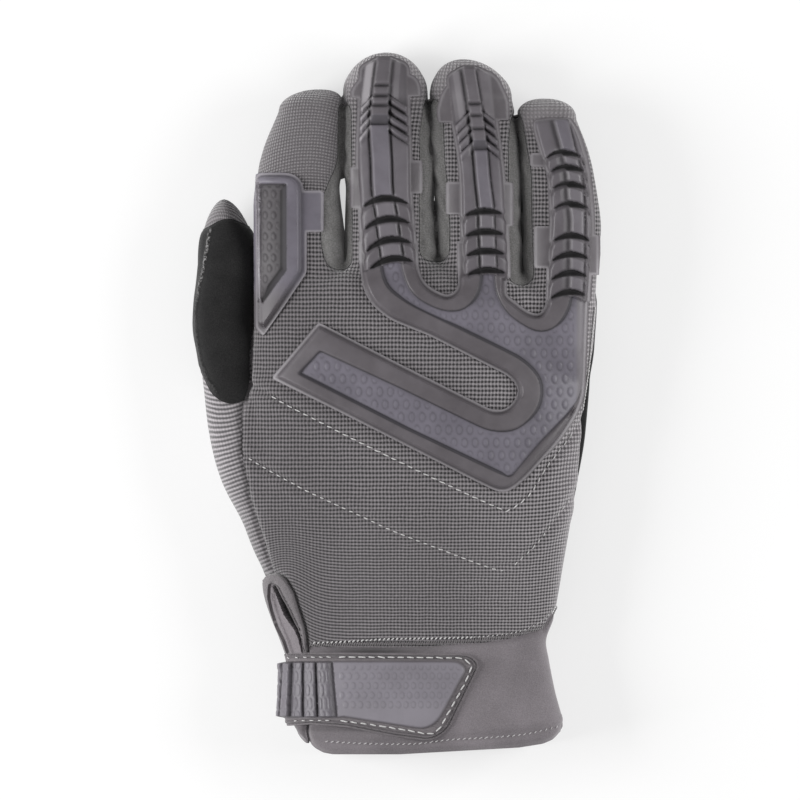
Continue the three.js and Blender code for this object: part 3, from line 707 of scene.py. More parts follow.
def cuffFinish():
    # brushed jersey, darker where shade is painted: beside and below the strap, and in the slit's gap
    c = cuffLook
    f = Finish("cuff_jersey", c["base"], 0.85, Sheen_Weight=0.5, Sheen_Roughness=0.5, Specular_IOR_Level=0.2)
    grain = f.noise(0.4)
    patches = f.noise(14, 3, 0.5)
    share = f.math("ADD", f.math("MULTIPLY", grain, 0.6), f.math("MULTIPLY", patches, 0.4))
    f.cover(f.range(share, 0.35, 0.65), c)
    f.bump(grain, 0.1)
    return f.made


rubberLook = dict(
    warm=((0.098, 0.088, 0.096), (0.128, 0.116, 0.127)), cool=((0.14, 0.13, 0.157), (0.185, 0.172, 0.208)),
    # edge is the colour of painted highlights, and the colour after it that of painted shade
    edge=(0.36, 0.34, 0.36), hollow=(0.013, 0.012, 0.013), gloss=(0.36, 0.5), deepGloss=0.4,
)


def rubberFinish():
    # satin rubber, cooler on smooth faces, paler where highlights are painted, and darker and duller where
    # shade is painted
    r = rubberLook
    f = Finish("guard_rubber", r["warm"][0], 0.42, Specular_IOR_Level=0.4)
    patches = f.noise(11, 4)
    dull = f.math("MULTIPLY", f.measure("deep"), r["deepGloss"])
    f.roughness(f.math("ADD", f.range(patches, 0.3, 0.7, *r["gloss"]), dull, clamp=True))
    share = f.range(patches, 0.35, 0.7)
    warm, cool = f.blend(share, *r["warm"]), f.blend(share, *r["cool"])
    # painted highlights where the pale mark is set
    plain = f.blend(f.measure("pale"), f.blend(f.measure("cool"), warm, cool), r["edge"])
    # painted shade where the shade mark is set
    f.color(f.blend(f.measure("deep"), plain, r["hollow"]))
    f.bump(f.noise(0.25), 0.03)
    return f.made


# the last colour is that of painted shade
webbingLook = dict(
    base=(0.14, 0.128, 0.136), dark=(0.125, 0.113, 0.12),
    light=(0.195, 0.178, 0.188), hollow=(0.03, 0.028, 0.03),
)


def strapFinish():
    # dense webbing with a fine ribbed weave, darker where shade is painted along its step and sewn line
    f = Finish("strap_webbing", webbingLook["base"], 0.8, Sheen_Weight=0.2, Specular_IOR_Level=0.25)
    weave = f.noise(0.6, 1, 0.5, scale=(0.3, 1.6, 1))
    share = f.math("ADD", f.math("MULTIPLY", f.noise(0.4), 0.5), f.math("MULTIPLY", weave, 0.5))
    f.cover(f.range(share, 0.35, 0.65), webbingLook)
    f.bump(share, 0.12)
    return f.made


threadLook = dict(dark=(0.42, 0.41, 0.41), light=(0.75, 0.74, 0.74))
overlockLook = dict(dark=(0.13, 0.12, 0.125), light=(0.26, 0.245, 0.25))


def threadFinish(name, look):
    # twisted thread
    f = Finish(name, look["light"], 0.6, Sheen_Weight=0.1, Specular_IOR_Level=0.4)
    twist = f.noise(0.3)
    f.cover(f.range(twist, 0.3, 0.7), look)
    f.bump(twist, 0.05)
    return f.made


finishes = dict(
    knit=knitFinish(), suede=suedeFinish(), cuff=cuffFinish(), rubber=rubberFinish(), strap=strapFinish(),
    side=sideFinish("side_fabric", sideLook), piping=sideFinish("piping", pipingLook),
    thread=threadFinish("sewing_thread", threadLook), overlock=threadFinish("overlock_thread", overlockLook),
)
print("materials", len(finishes))


# Quilting seams across the back, which draw the cloth in
quilting = [
    [
        (-52.3, 7.4), (-43.6, 2.9), (-26.4, -6.4), (1.2, -20.2), (18.5, -28.5), (36.4, -36.6),
        (38.8, -36.8), (46.1, -31.2), (51.2, -22.9), (61.6, -9.1), (66, -3),
    ],
    [
        (-53, -17.6), (-45.4, -22.3), (-32.3, -29.5), (-10.9, -39.5), (18.5, -51.6), (34, -57.2),
        (42.6, -54), (49.5, -47.1), (60.4, -32.6), (64, -28),
    ],
]
hemGroove = [[
    (-40, -115.6), (-25, -116.2), (-11.5, -117), (6, -117.1), (18.5, -115.7), (35.7, -114.7),
    (46, -113.5), (60, -110.6),
]]
quiltLook = dict(dip=0.45, reach=0.9, puff=0.35, puffFrom=(0.5, 2.5), puffTo=(3, 5))


def toLine(route, x, y):
    # distance to an open line seen from above
    best = np.full(x.shape, 1e9)
    for (ax, ay), (bx, by) in zip(route, route[1:]):
        ex, ey = bx - ax, by - ay
        t = np.clip(((x - ax) * ex + (y - ay) * ey) / (ex * ex + ey * ey), 0, 1)
        best = np.minimum(best, (x - ax - t * ex) ** 2 + (y - ay - t * ey) ** 2)
    return np.sqrt(best)


def toQuilting(routes, points):
    # distance to the nearest of several lines
    x, y = points[:, 0], points[:, 1]
    return np.min([toLine(route, x, y) for route in routes], axis=0)


def quilted(routes, points):
    # how far the cloth stands in or out for the quilting seams
    q = quiltLook
    away = toQuilting(routes, points)
    puff = q["puff"] * ramp(away, *q["puffFrom"]) * (1 - ramp(away, *q["puffTo"]))
    lift = puff - q["dip"] * bell(away, q["reach"])
    return lift * (points[:, 2] > midAt(points[:, 1]) + 1)


knitMeasures = ("across", "length", "openness", "ribbed", "tone")


def panel(name, part, finish, slot, wall, quilt=(), measures=()):
    # one sewn panel: its outer skin dips at its edges, and a lining lies inside it
    p = panelSew
    points, faces = part
    rim = rimOf(faces)
    rimPoints = points[np.unique(rim), :3]
    n, innerFaces = len(points), faces
    close = nearest(points[:, :3], rimPoints) < p["fineWithin"]
    if quilt:
        close |= (toQuilting(quilt, points) < p["fineQuilt"]) & (points[:, 2] > midAt(points[:, 1]))
    skin, faces = splitInside(points, faces, p["fineEdge"], lambda edges: close[edges].all(axis=1))
    skin[n:, :3] = settle(skin[n:, :3], 1)
    normals = outward(skin[:, :3])
    gap = nearest(skin[:, :3], rimPoints)
    narrow = slot == "side_fabric"
    dip, reach = p["sideDip" if narrow else "dip"], p["sideReach" if narrow else "reach"]
    lift = waves(skin) * ramp(gap, 0, 6) - dip * bell(gap, reach)
    if narrow:
        lift += creases(skin) * ramp(gap, 0, 2)
    if quilt:
        lift += quilted(quilt, skin)
    lining = skin[:n].copy()
    skin[:, :3] += normals * lift[:, None]
    # the lining follows the dips and is thinner at the seams
    sunk = np.minimum(lift[:n], 0) - wall * (0.5 + 0.5 * ramp(gap[:n], 0, 2.5))
    lining[:, :3] += normals[:n] * sunk[:, None]
    whole, faces = closeShell(skin, faces, lining, innerFaces, rim)
    whole[:, 2] = np.maximum(whole[:, 2], 0)
    makePiece(name, whole, faces, finish, [name], measures, sharp=60)
    print("panel", name, len(faces), "triangles")


def rowShare(y, start, reach):
    # how much further the rows have run where they lie closer together, below start
    t = np.clip((start - y) / reach, 0, 1)
    return reach * (t**3 - t**4 / 2) + np.clip(start - reach - y, 0, None)


backWeave = dict(
    indexArch=3.2, littleFall=0.9, bow=5.5, crowded=0.36, stretch=0.3, seam=1.5, thumbSeam=1.6, tone=0.27,
)


def withMeasures(points, faces):
    # where the weave lies on the back, how open it is and how pale, with painted side light and sheen
    b = backWeave
    normals = outward(points)
    x, y, z = points.T
    length = spreadOver(points, faces, normals, "length")
    onIndex = ramp(y, 56, 74) * (1 - ramp(x, -20, -17))
    length = length + b["indexArch"] * onIndex * ((x + 30) / 14) ** 2
    length = length - b["littleFall"] * ramp(x, 38, 66) * ramp(-y, -20, 40) * (x - 38) / 8
    bow = bell(x + 38, 9) * ramp(-y, 36, 60)
    length = length - b["bow"] * bow
    length = length - b["crowded"] * rowShare(length, -22, 38)
    tips = np.maximum(onIndex * ramp(y, 70, 80), ramp(y, 96, 108))
    tips = np.maximum(tips, 1.5 * ramp(y, 90, 97) * (x > 40))
    # painted sheen: the knit is paler where it turns steeply down at the sides
    steepSheen = ramp(1 - normals[:, 2], 0.25, 0.75) * (1 - ramp(y, 50, 60))
    openness = (1 - 0.5 * tips) * (1 - 0.5 * steepSheen)
    ribbed = 0.75 * ramp(-y, 36, 66) * (1 - ramp(x, -24, 14)) + 0.15 * ramp(-y, 10, 60)
    # the cloth is paler, its holes closed, along the seams on the little finger side and at the thumb
    seam = bell(backField(x, y, z), b["seam"]) * ramp(x, 30, 50) * ramp(-y, -46, -30)
    thumbSeam = bell(thumbSide(x, y, z), b["thumbSeam"]) * ramp(y, -10, 2)
    thumbSeam = thumbSeam * (x < -40) * (1 - ramp(y, 26, 32))
    openness = openness * (1 - seam) * (1 - 0.8 * thumbSeam)
    # painted side light: paler low on the little finger side; paler at the tips
    openness = openness * (1 - 0.35 * ramp(x, 50, 62) * (1 - ramp(y, 30, 44))) * (1 - 0.4 * ramp(y, 102, 114))
    stretch = 1 + b["stretch"] * onIndex * ramp(y, 68, 82)
    turn = spreadOver(points, faces, normals, "width")
    # painted light falloff: darker towards the thumb and paler towards the little finger; also paler at the
    # tips
    side = 0.48 * ramp(x, 12, 50) + 0.3 * ramp(x, 50, 60) - 0.27 * ramp(-x, 5, 38)
    tone = b["tone"] + (1 - ramp(y, 36, 50)) * side
    tone = np.clip(tone + 0.5 * seam + 0.7 * thumbSeam + 0.45 * ramp(y, 102, 114), 0, 1)
    across, length = -30 + (turn + 30) * stretch, 70 + (length - 70) * stretch
    return np.column_stack([points, across, length, openness, ribbed, tone])


def cuffShade(points):
    # painted shadow: the cuff is darker between the back and the strap, and below the strap's lower edge
    x, y, z = points.T
    below = wristSeam(x) - y
    tuckShadow = bell(below - 1.3, 1.5) * bell(x + 8, 20) * ramp(x, -33, -29)
    # painted shadow below the strap's lower edge
    hem = 0.16 * ramp(-y, 109, 112) * (1 - ramp(x, 5, 30))
    hem = hem + 0.3 * bell(y + 112, 1.2) * (1 - ramp(x, -14, 4))
    return np.column_stack([points, np.maximum(0.85 * tuckShadow, hem) * (z > midAt(y))])


# The filled hand as triangles, open at the wrist, and the panels cut from it
handGrid = dict(low=(-77, -129, -4), high=(77, 127, 42), step=1.0, openEnd=-127)
points, faces = meshGrid(handGrid["low"], handGrid["high"], handGrid["step"], gloveDistance)
points, faces = compact(points, faces[points[faces][:, :, 1].min(axis=1) > handGrid["openEnd"]])
points = settle(points)
print("filled hand", len(faces), "triangles")
wristSeam, cuffEnd = cutAt(seams["wrist"]), cutAt(seams["cuffEnd"])
filled = hand = (points, faces)
cuffPart, hand = divide(*hand, lambda x, y, z: wristSeam(x) - y)
cuffPart, _ = divide(*cuffPart, lambda x, y, z: y - cuffEnd(x))
_, cuffPart = divide(*cuffPart, slitField)
thumbPart, hand = divide(*hand, thumbSide)
_, thumbPart = divide(*thumbPart, slitField)
cuffPart = (cuffShade(cuffPart[0]), cuffPart[1])
panel("wrist_cuff", cuffPart, finishes["cuff"], "cuff_neoprene", panelSew["cuffWall"], hemGroove, ["deep"])
for name, side in fourchettes.items():
    sidePart, hand = divide(*hand, fourchetteField(side))
    x, y, z = sidePart[0].T
    # painted shade: the side panels darken down towards the gap between the fingers
    deep = side["dark"] * (1 - ramp(z - midAt(y), 2.5, 5))
    sidePart = (np.column_stack([sidePart[0], deep]), sidePart[1])
    panel(name, sidePart, finishes["side"], "side_fabric", panelSew["wall"], measures=["deep"])
backPart, palmPart = divide(*hand, backField)
_, backPart = divide(*backPart, slitField)
backPart = (withMeasures(*backPart), backPart[1])
panel("back_panel", backPart, finishes["knit"], "back_knit", panelSew["wall"], quilting, knitMeasures)
panel("palm_panel", palmPart, finishes["suede"], "palm_leather", panelSew["wall"])


thumbWeave = dict(round=11.5, rootFall=0.36, sideFall=0.035, lean=0.25, tipFall=0.8, tone=0.3, openness=0.8)


def thumbMeasures(points):
    # where the weave lies round the thumb and along it
    t = thumbWeave
    x, y, z = points.T
    rows = thumb["rows"]
    centre, mid = along(rows, "x")(y), along(rows, "z")(y)
    half, rise = along(rows, "half")(y), along(rows, "rise")(y)
    turn = np.arctan2((x - centre) / half, (z - mid) / rise)
    onTip = ramp(y, 30, 50)
    onRoot = ramp(-y, 0, 28)
    fall = (1 - onRoot) * t["sideFall"] * (x + 60) ** 2 + onRoot * t["rootFall"] * (x + 57)
    length = y - (1 - onTip) * fall
    length = length + t["lean"] * onTip * (x - centre) - t["tipFall"] * ramp(y, 54, 66) * (z - mid)
    # painted side light: paler on the outer side of the thumb
    tone = t["tone"] + 0.7 * (1 - ramp(x, -59, -49)) * (1 - ramp(y, 10, 30))
    openness = t["openness"] - 0.3 * ramp(y, 54, 62)
    return np.column_stack([points, turn * t["round"], length, openness, 0.9 - 0.4 * onTip, tone])


thumbPanel = (thumbMeasures(thumbPart[0]), thumbPart[1])
panel("thumb_panel", thumbPanel, finishes["knit"], "back_knit", panelSew["wall"], measures=knitMeasures)


def rect(left, right, low, high, radius=0.6):
    # a box seen from above, with rounded corners
    return roundOff([(left, low), (right, low), (right, high), (left, high)], radius, 3)


def sampled(low, high, step, make):
    # layers worked out once on a fine raster seen from above, and read at any points
    xs, ys = np.arange(low[0], high[0], step), np.arange(low[1], high[1], step)
    x, y = np.meshgrid(xs, ys, indexing="ij")
    layers = make(x, y)

    def at(points, names):
        u = np.clip((points[:, 0] - low[0]) / step, 0, len(xs) - 1.001)
        v = np.clip((points[:, 1] - low[1]) / step, 0, len(ys) - 1.001)
        i, j = u.astype(int), v.astype(int)
        s, t = u - i, v - j
        out = []
        for name in names:
            m = layers[name]
            first = m[i, j] * (1 - s) * (1 - t) + m[i + 1, j] * s * (1 - t)
            out.append(first + m[i, j + 1] * (1 - s) * t + m[i + 1, j + 1] * s * t)
        return out

    return at


def smear(values, reach):
    # soft copy of a raster, for finding its hollows
    weights = np.exp(-0.5 * (np.arange(-3 * reach, 3 * reach + 1) / reach) ** 2)
    weights /= weights.sum()
    for axis in (0, 1):
        size = values.shape[axis]
        sides = [(3 * reach, 3 * reach) if a == axis else (0, 0) for a in (0, 1)]
        padded = np.pad(values, sides, mode="edge")
        values = sum(w * np.take(padded, np.arange(k, k + size), axis=axis) for k, w in enumerate(weights))
    return values


raster = 0.25            # step of the relief layers, which are worked out as seen from above

# Rubber levels above the cloth
guardLevels = dict(
    flange=0.8, rail=2.7, recess=1.75, groove=0.22, edge=1.1, bevel=0.7,
    # oval dark is the strength of the painted shade round each oval
    oval=dict(rise=0.16, cut=0.14, dark=0.32, halfX=0.98, halfY=1.55, pitchX=3.65, pitchY=4.4),
    plate=2.0, strip=2.7, block=3.4, blockEnd=2.6, crescent=0.95,
    lineDepth=0.8, notchDepth=1.5, tipLift=0.9, valley=1.5,
)
plateLines = dict(
    outline=[
        (-12.8, 56, 0.5), (-12.6, 46, 3), (-11.6, 39.5, 3), (-8.6, 34, 3), (-2.2, 28.8, 3),
        (11.6, 23.2, 2), (39.6, 9.0, 4), (42.6, 4.2, 4), (38.8, -1.6, 4), (33.6, -2.6, 3), (1.2, 13.6, 2),
        (-26.8, 28.0, 1.2), (-43.0, 8.7, 1.2), (-19.5, -3.0, 1), (28.8, -27.6, 4), (37.2, -31.6, 5),
        (44.3, -26.2, 4), (56.4, -12.6, 4), (64.6, 0.2, 7), (65.8, 36, 2), (66.4, 56, 0.5),
    ],
    windows=[
        [
            (6.6, 85), (7.4, 46, 4), (10.4, 40.4, 4), (17.6, 37, 2.4), (21.2, 39.4, 2.4), (21.2, 46, 2),
            (20.6, 85),
        ],
        [
            (37.9, 80), (37.9, 37.4, 1.4), (45.4, 31.6, 2.5), (49.6, 30.6, 2.5), (51.6, 34.6, 1.5),
            (51.8, 46, 2), (51, 80),
        ],
    ],
    recess=[
        (-6.2, 54), (-6.0, 47, 3), (-4, 39.8, 4), (3, 34.6, 4), (35.7, 18.6, 4), (43.6, 14.6, 4),
        (49.8, 8, 5), (49.2, -1.2, 5), (42, -9.2, 5), (32.6, -9.6, 5), (1.2, 5.7, 3), (-26.4, 18.4, 1),
        (-34.5, 10.2, 0.8), (3.6, -9.3, 3), (35.4, -24.4, 2), (39.4, -25.8, 2), (49.5, -13.8, 2),
        (60.4, -2.6, 4), (64.4, 4, 5), (65.4, 42), (59.8, 42), (59.6, 34, 4), (55, 26.2, 4),
        (48.6, 24.6, 4), (38.6, 30.6, 5), (34.2, 38.6, 5), (34, 52), (28.8, 52), (28.6, 39.6, 5),
        (23.8, 32.2, 5), (15.6, 32, 5), (5.2, 37.6, 5), (1.8, 47, 4), (1.8, 54),
    ],
)
arms = dict(
    middle=dict(
        rows=table(
            "y left right mid half",
            (121.2, -11.2, 3.2, -3.9, 2.3), (108.2, -12, 3.4, -5.3, 2.6), (95.4, -12.6, 3.9, -5.9, 3.1),
            (84, -12.9, 4.3, -5.3, 3.1), (71.9, -12.2, 4.4, -4.7, 3.1), (64.8, -11.9, 5, -3.5, 3.2),
            (57.6, -11.5, 5.6, -2.6, 3.3), (51.1, -11, 6.2, -1.6, 3.4), (46, -10.6, 6.6, -1.2, 3.6),
        ),
        top=118.7, corners=(2.6, 1.9), bend=0.054, lean=0.12, lines=(0.42, 0.5), glint=0.9,
        arches=[71.9, 64.8, 57.7, 51.1], archThick=2.5,
        blocks=[109.8, 106.2, 102.9], slope=(99.9, 96), tipFall=0.6,
        bars=dict(first=106.8, pitch=3.35, count=4, left=1.2, right=0.67),
        tabs=[(4.2, 8.6, 72.4, 83.8), (-15.6, -12, 67.4, 81.6)],
        flaps=[[(3, 114), (6.6, 112.4, 1.5), (8, 109.6, 1.5), (8.2, 105.8, 0.6), (3, 105.8)],
               [(-11, 113.4), (-13.6, 110.8, 2), (-15.4, 108.2, 1), (-15.4, 105.4, 0.6), (-11, 105.4)]],
    ),
    ring=dict(
        rows=table(
            "y left right mid half",
            (116.4, 18, 32.2, 24.8, 2), (104.7, 19, 33.2, 26.7, 2.1), (97.5, 19.8, 33.9, 27.8, 2.2),
            (87.5, 21.6, 35.3, 29, 2.2), (77.1, 22.7, 36.4, 29.9, 2.2), (67.4, 22.9, 36.9, 31, 2.3),
            (60.3, 23.1, 37.4, 31.3, 2.4), (53.6, 23.4, 37.7, 31.6, 2.4), (46.8, 23.6, 38, 31.9, 2.5),
            (42, 24, 38.2, 32, 2.6),
        ),
        top=115.6, corners=(2.6, 2.2), bend=0.05, lean=-0.06, lines=(0.6, 0.25), glint=0.3,
        arches=[67.5, 60.4, 53.7, 47.1], archThick=2.4,
        blocks=[103.4, 99.4, 94.8], slope=(91.2, 87.4), tipFall=0.4,
        bars=dict(first=101.2, pitch=3.4, count=4, left=0.92, right=0.85),
        tabs=[(17.4, 22.4, 65.2, 76.4), (36.6, 39.9, 61.2, 76.2)],
        flaps=[[(32, 114.4), (35, 112, 2), (38.4, 104.6, 2), (38.6, 97.6, 0.8), (32, 97.6)],
               [(18.6, 111), (15.6, 106.6, 2), (14.2, 101.2, 1), (14.6, 96.8, 0.8), (20, 96.8)]],
    ),
    little=dict(
        rows=table(
            "y left right mid half",
            (98.4, 47.3, 59.6, 56.6, 2.2), (95.7, 48, 60.8, 57.3, 2.2), (86.8, 50.4, 64, 59.6, 2.1),
            (78.6, 53, 65.6, 61.4, 2.2), (71.9, 53.4, 66.4, 61.9, 2.4), (63.3, 53.9, 67, 62.6, 2),
            (54.7, 53.4, 67, 62.4, 2.1), (47.8, 53, 66.4, 62.4, 2.1), (38.4, 52.6, 65.7, 62, 2.1),
            (34, 52.4, 65.4, 61.6, 2.1),
        ),
        top=98, corners=(0.6, 1.6), bend=0.07, lean=-0.3, lines=(1.3, 0.25), lineDark=0.36,
        arches=[87.3, 82.2, 76.4, 69.5, 58.7, 52.2, 45.8, 39.2], archThick=2.3, thin=4,
        tabs=[(47.8, 53.4, 46.8, 61.2), (66, 69.6, 44.4, 58.2), (46.4, 51.4, 81.6, 86.4)],
        flaps=[],
    ),
)


def ovalsAt(x, y, pitchX, pitchY, halfX, halfY):
    # staggered upright ovals: 0 at the middle of each and 1 on its outline
    row = np.floor(y / pitchY)
    across = (x / pitchX + 0.5 * (row % 2)) % 1 - 0.5
    down = (y / pitchY) % 1 - 0.5
    return np.sqrt((across * pitchX / halfX) ** 2 + (down * pitchY / halfY) ** 2)


def ovals(x, y, room):
    # height of the ovals of a recess, and the painted shade line round each
    o = guardLevels["oval"]
    size = ovalsAt(x - 1.6, y + 2.5, o["pitchX"], o["pitchY"], o["halfX"], o["halfY"])
    ring = bell(size - 1.0, 0.22) * room
    return o["rise"] * ramp(1.1 - size, 0, 0.35) * room - o["cut"] * ring, o["dark"] * ring


def armBody(arm):
    # outline of a finger's arm, with rounded corners at its top
    rows, sides = arm["rows"], []
    for name, drop in zip(("left", "right"), arm["corners"]):
        ys = np.linspace(rows["y"].min(), arm["top"] - drop, 12)
        sides.append([(along(rows, name)(y), y, 1.5 if y == ys[-1] else 0.01) for y in ys])
    mid, half = along(rows, "mid")(arm["top"]), along(rows, "half")(arm["top"])
    top = [(mid - half - 0.4, arm["top"], 0.5), (mid + half + 0.4, arm["top"], 0.5)]
    return roundOff(sides[0] + top + sides[1][::-1])


def softened(height):
    # the relief a little smoothed, and how far each spot lies below its surroundings, for painted shade
    return np.maximum(smear(height, 1), guardLevels["flange"]), np.clip(smear(height, 4) - height, 0, 1)


def edgeShine(plan):
    # painted highlight: a pale line along the edge of a guard
    return 1 - ramp(np.abs(plan - 0.3), 0.15, 0.55)


# The recess of the knuckle plate and its border on the right, and strengths of painted shade and painted
# highlights from 0 to 1
plateLook = dict(
    trench=0.28, ovalStart=0.7, ovalFull=1.4, ovalRight=61.4, border=(61.6, 62.8), borderPale=0.16,
    borderWarm=0.8, wallDark=0.68, cavity=0.45, rim=0.75, rimFall=0.4, rimSpan=(44, 52),
)


def knuckleRelief(x, y):
    # outline, height, painted shade, painted highlights and cool tint of the knuckle guard with its three
    # arms
    g, p = guardLevels, plateLook
    plate = within(roundOff(plateLines["outline"]), x, y)
    for window in plateLines["windows"]:
        plate = np.minimum(plate, -within(roundOff(window), x, y))
    plan = plate
    height = g["flange"] + (g["rail"] - g["flange"]) * ramp(plate, g["edge"], g["edge"] + g["bevel"])
    recess = within(roundOff(plateLines["recess"]), x, y)
    band = wallWidth(recess)
    sunk = ramp(recess, 0, band)
    room = ramp(recess, band + p["ovalStart"], band + p["ovalFull"]) * ramp(p["ovalRight"] - x, 0, 0.5)
    raised, ring = ovals(x, y, room)
    height = height * (1 - sunk) + np.minimum(height, g["recess"] + raised) * sunk
    trench = bell(recess - band, p["trench"])
    height = height - g["groove"] * trench * (plate > 1)
    # painted shade on the wall down into the recess, and round the ovals
    deep = p["wallDark"] * ramp(recess, -0.1, 0.15) * (1 - ramp(recess, band - 0.15, band + 0.25))
    deep = deep * (plate > 1) + ring
    # painted highlight: the border on the right is paler and less cool
    border = ramp(x, *p["border"]) * (recess > 0)
    pale, cool = p["borderPale"] * border, ramp(recess, 0, 0.6) * (1 - p["borderWarm"] * border)
    for arm in arms.values():
        # where the arm has its own relief, on and close round it
        span = (along(arm["rows"], "right")(y) - along(arm["rows"], "left")(y)) / 2
        body = within(armBody(arm), x, y)
        s = x - along(arm["rows"], "mid")(y)
        held = np.clip(s, -2 * span, 2 * span)
        bent = y + arm["bend"] * np.minimum(held * held, 90) - arm["lean"] * held
        low = arm["arches"][-1]
        reach = body + 1 - 0.5 * ramp(y, arm["top"] - 4, arm["top"] - 1)
        plan = np.maximum(plan, np.where(y > low - 4, reach, -9))
        for extra in [rect(*tab) for tab in arm["tabs"]] + [roundOff(flap) for flap in arm["flaps"]]:
            plan = np.maximum(plan, within(extra, x, y))
        own, dark, ownPale, ownCool, gapHere = armRelief(arm, x, y, s, bent, span)
        onArm = (body > -0.6) & (bent > low - 2.6)
        wall = ramp(body - 0.5 * gapHere, -0.3, 0.4)
        beside = ~onArm & (bent > low) & (body > -5)
        # past the last arch the arm runs out into the plate
        foot = np.where(bent > low, g["flange"], height)
        kept = (1 - wall) * (bent <= low)
        height = np.where(onArm, foot + (own - foot) * wall, np.where(beside, g["flange"], height))
        deep = np.where(onArm, dark * wall + deep * kept, np.where(beside, 0, deep))
        pale = np.where(onArm, ownPale * wall + pale * kept, pale)
        cool = np.where(onArm, ownCool * wall + cool * kept, np.where(beside, 0, cool))
    height, cavity = softened(height)
    # painted highlight along the edges of the flange
    rim = (p["rim"] - p["rimFall"] * ramp(y, *p["rimSpan"])) * edgeShine(plan)
    pale = np.maximum(pale, rim * (height < g["flange"] + 0.4))
    # painted shade in the hollows
    deep = np.clip(deep + cavity * p["cavity"], 0, 1)
    return dict(plan=plan, height=height, deep=deep, pale=pale, cool=cool)


def wallWidth(recess):
    # the wall down into the recess is wide on its lower left side, and steep elsewhere
    overX, overY = np.gradient(recess, raster)
    return 0.36 + 0.85 * ramp(smear(0.94 * overX + 0.34 * overY, 5), 0.25, 0.75)


# Cuts of the finger arms, in millimetres or as shares, and shades from 0 to 1: painted shade, painted
# highlights and the cool tint of smooth faces
armCut = dict(
    barDrop=0.5, barFall=1.1, barTop=0.35, notchWide=0.55, gapLeast=0.15, thinLeft=0.4, thinRight=0.75,
    frontLean=0.12, riseFrom=0.25, sideDrop=0.35, lineDrop=0.9, endDrop=0.5, endRise=1.3, edgeWide=0.3,
)
armShade = dict(
    line=0.55, bars=0.54, notch=0.42, valley=0.55, edge=0.25, palePlate=0.07, paleTip=0.8, paleArch=0.16,
    smooth=0.2, smoothStrip=0.42, smoothTip=0.1, smoothArch=0.2,
)


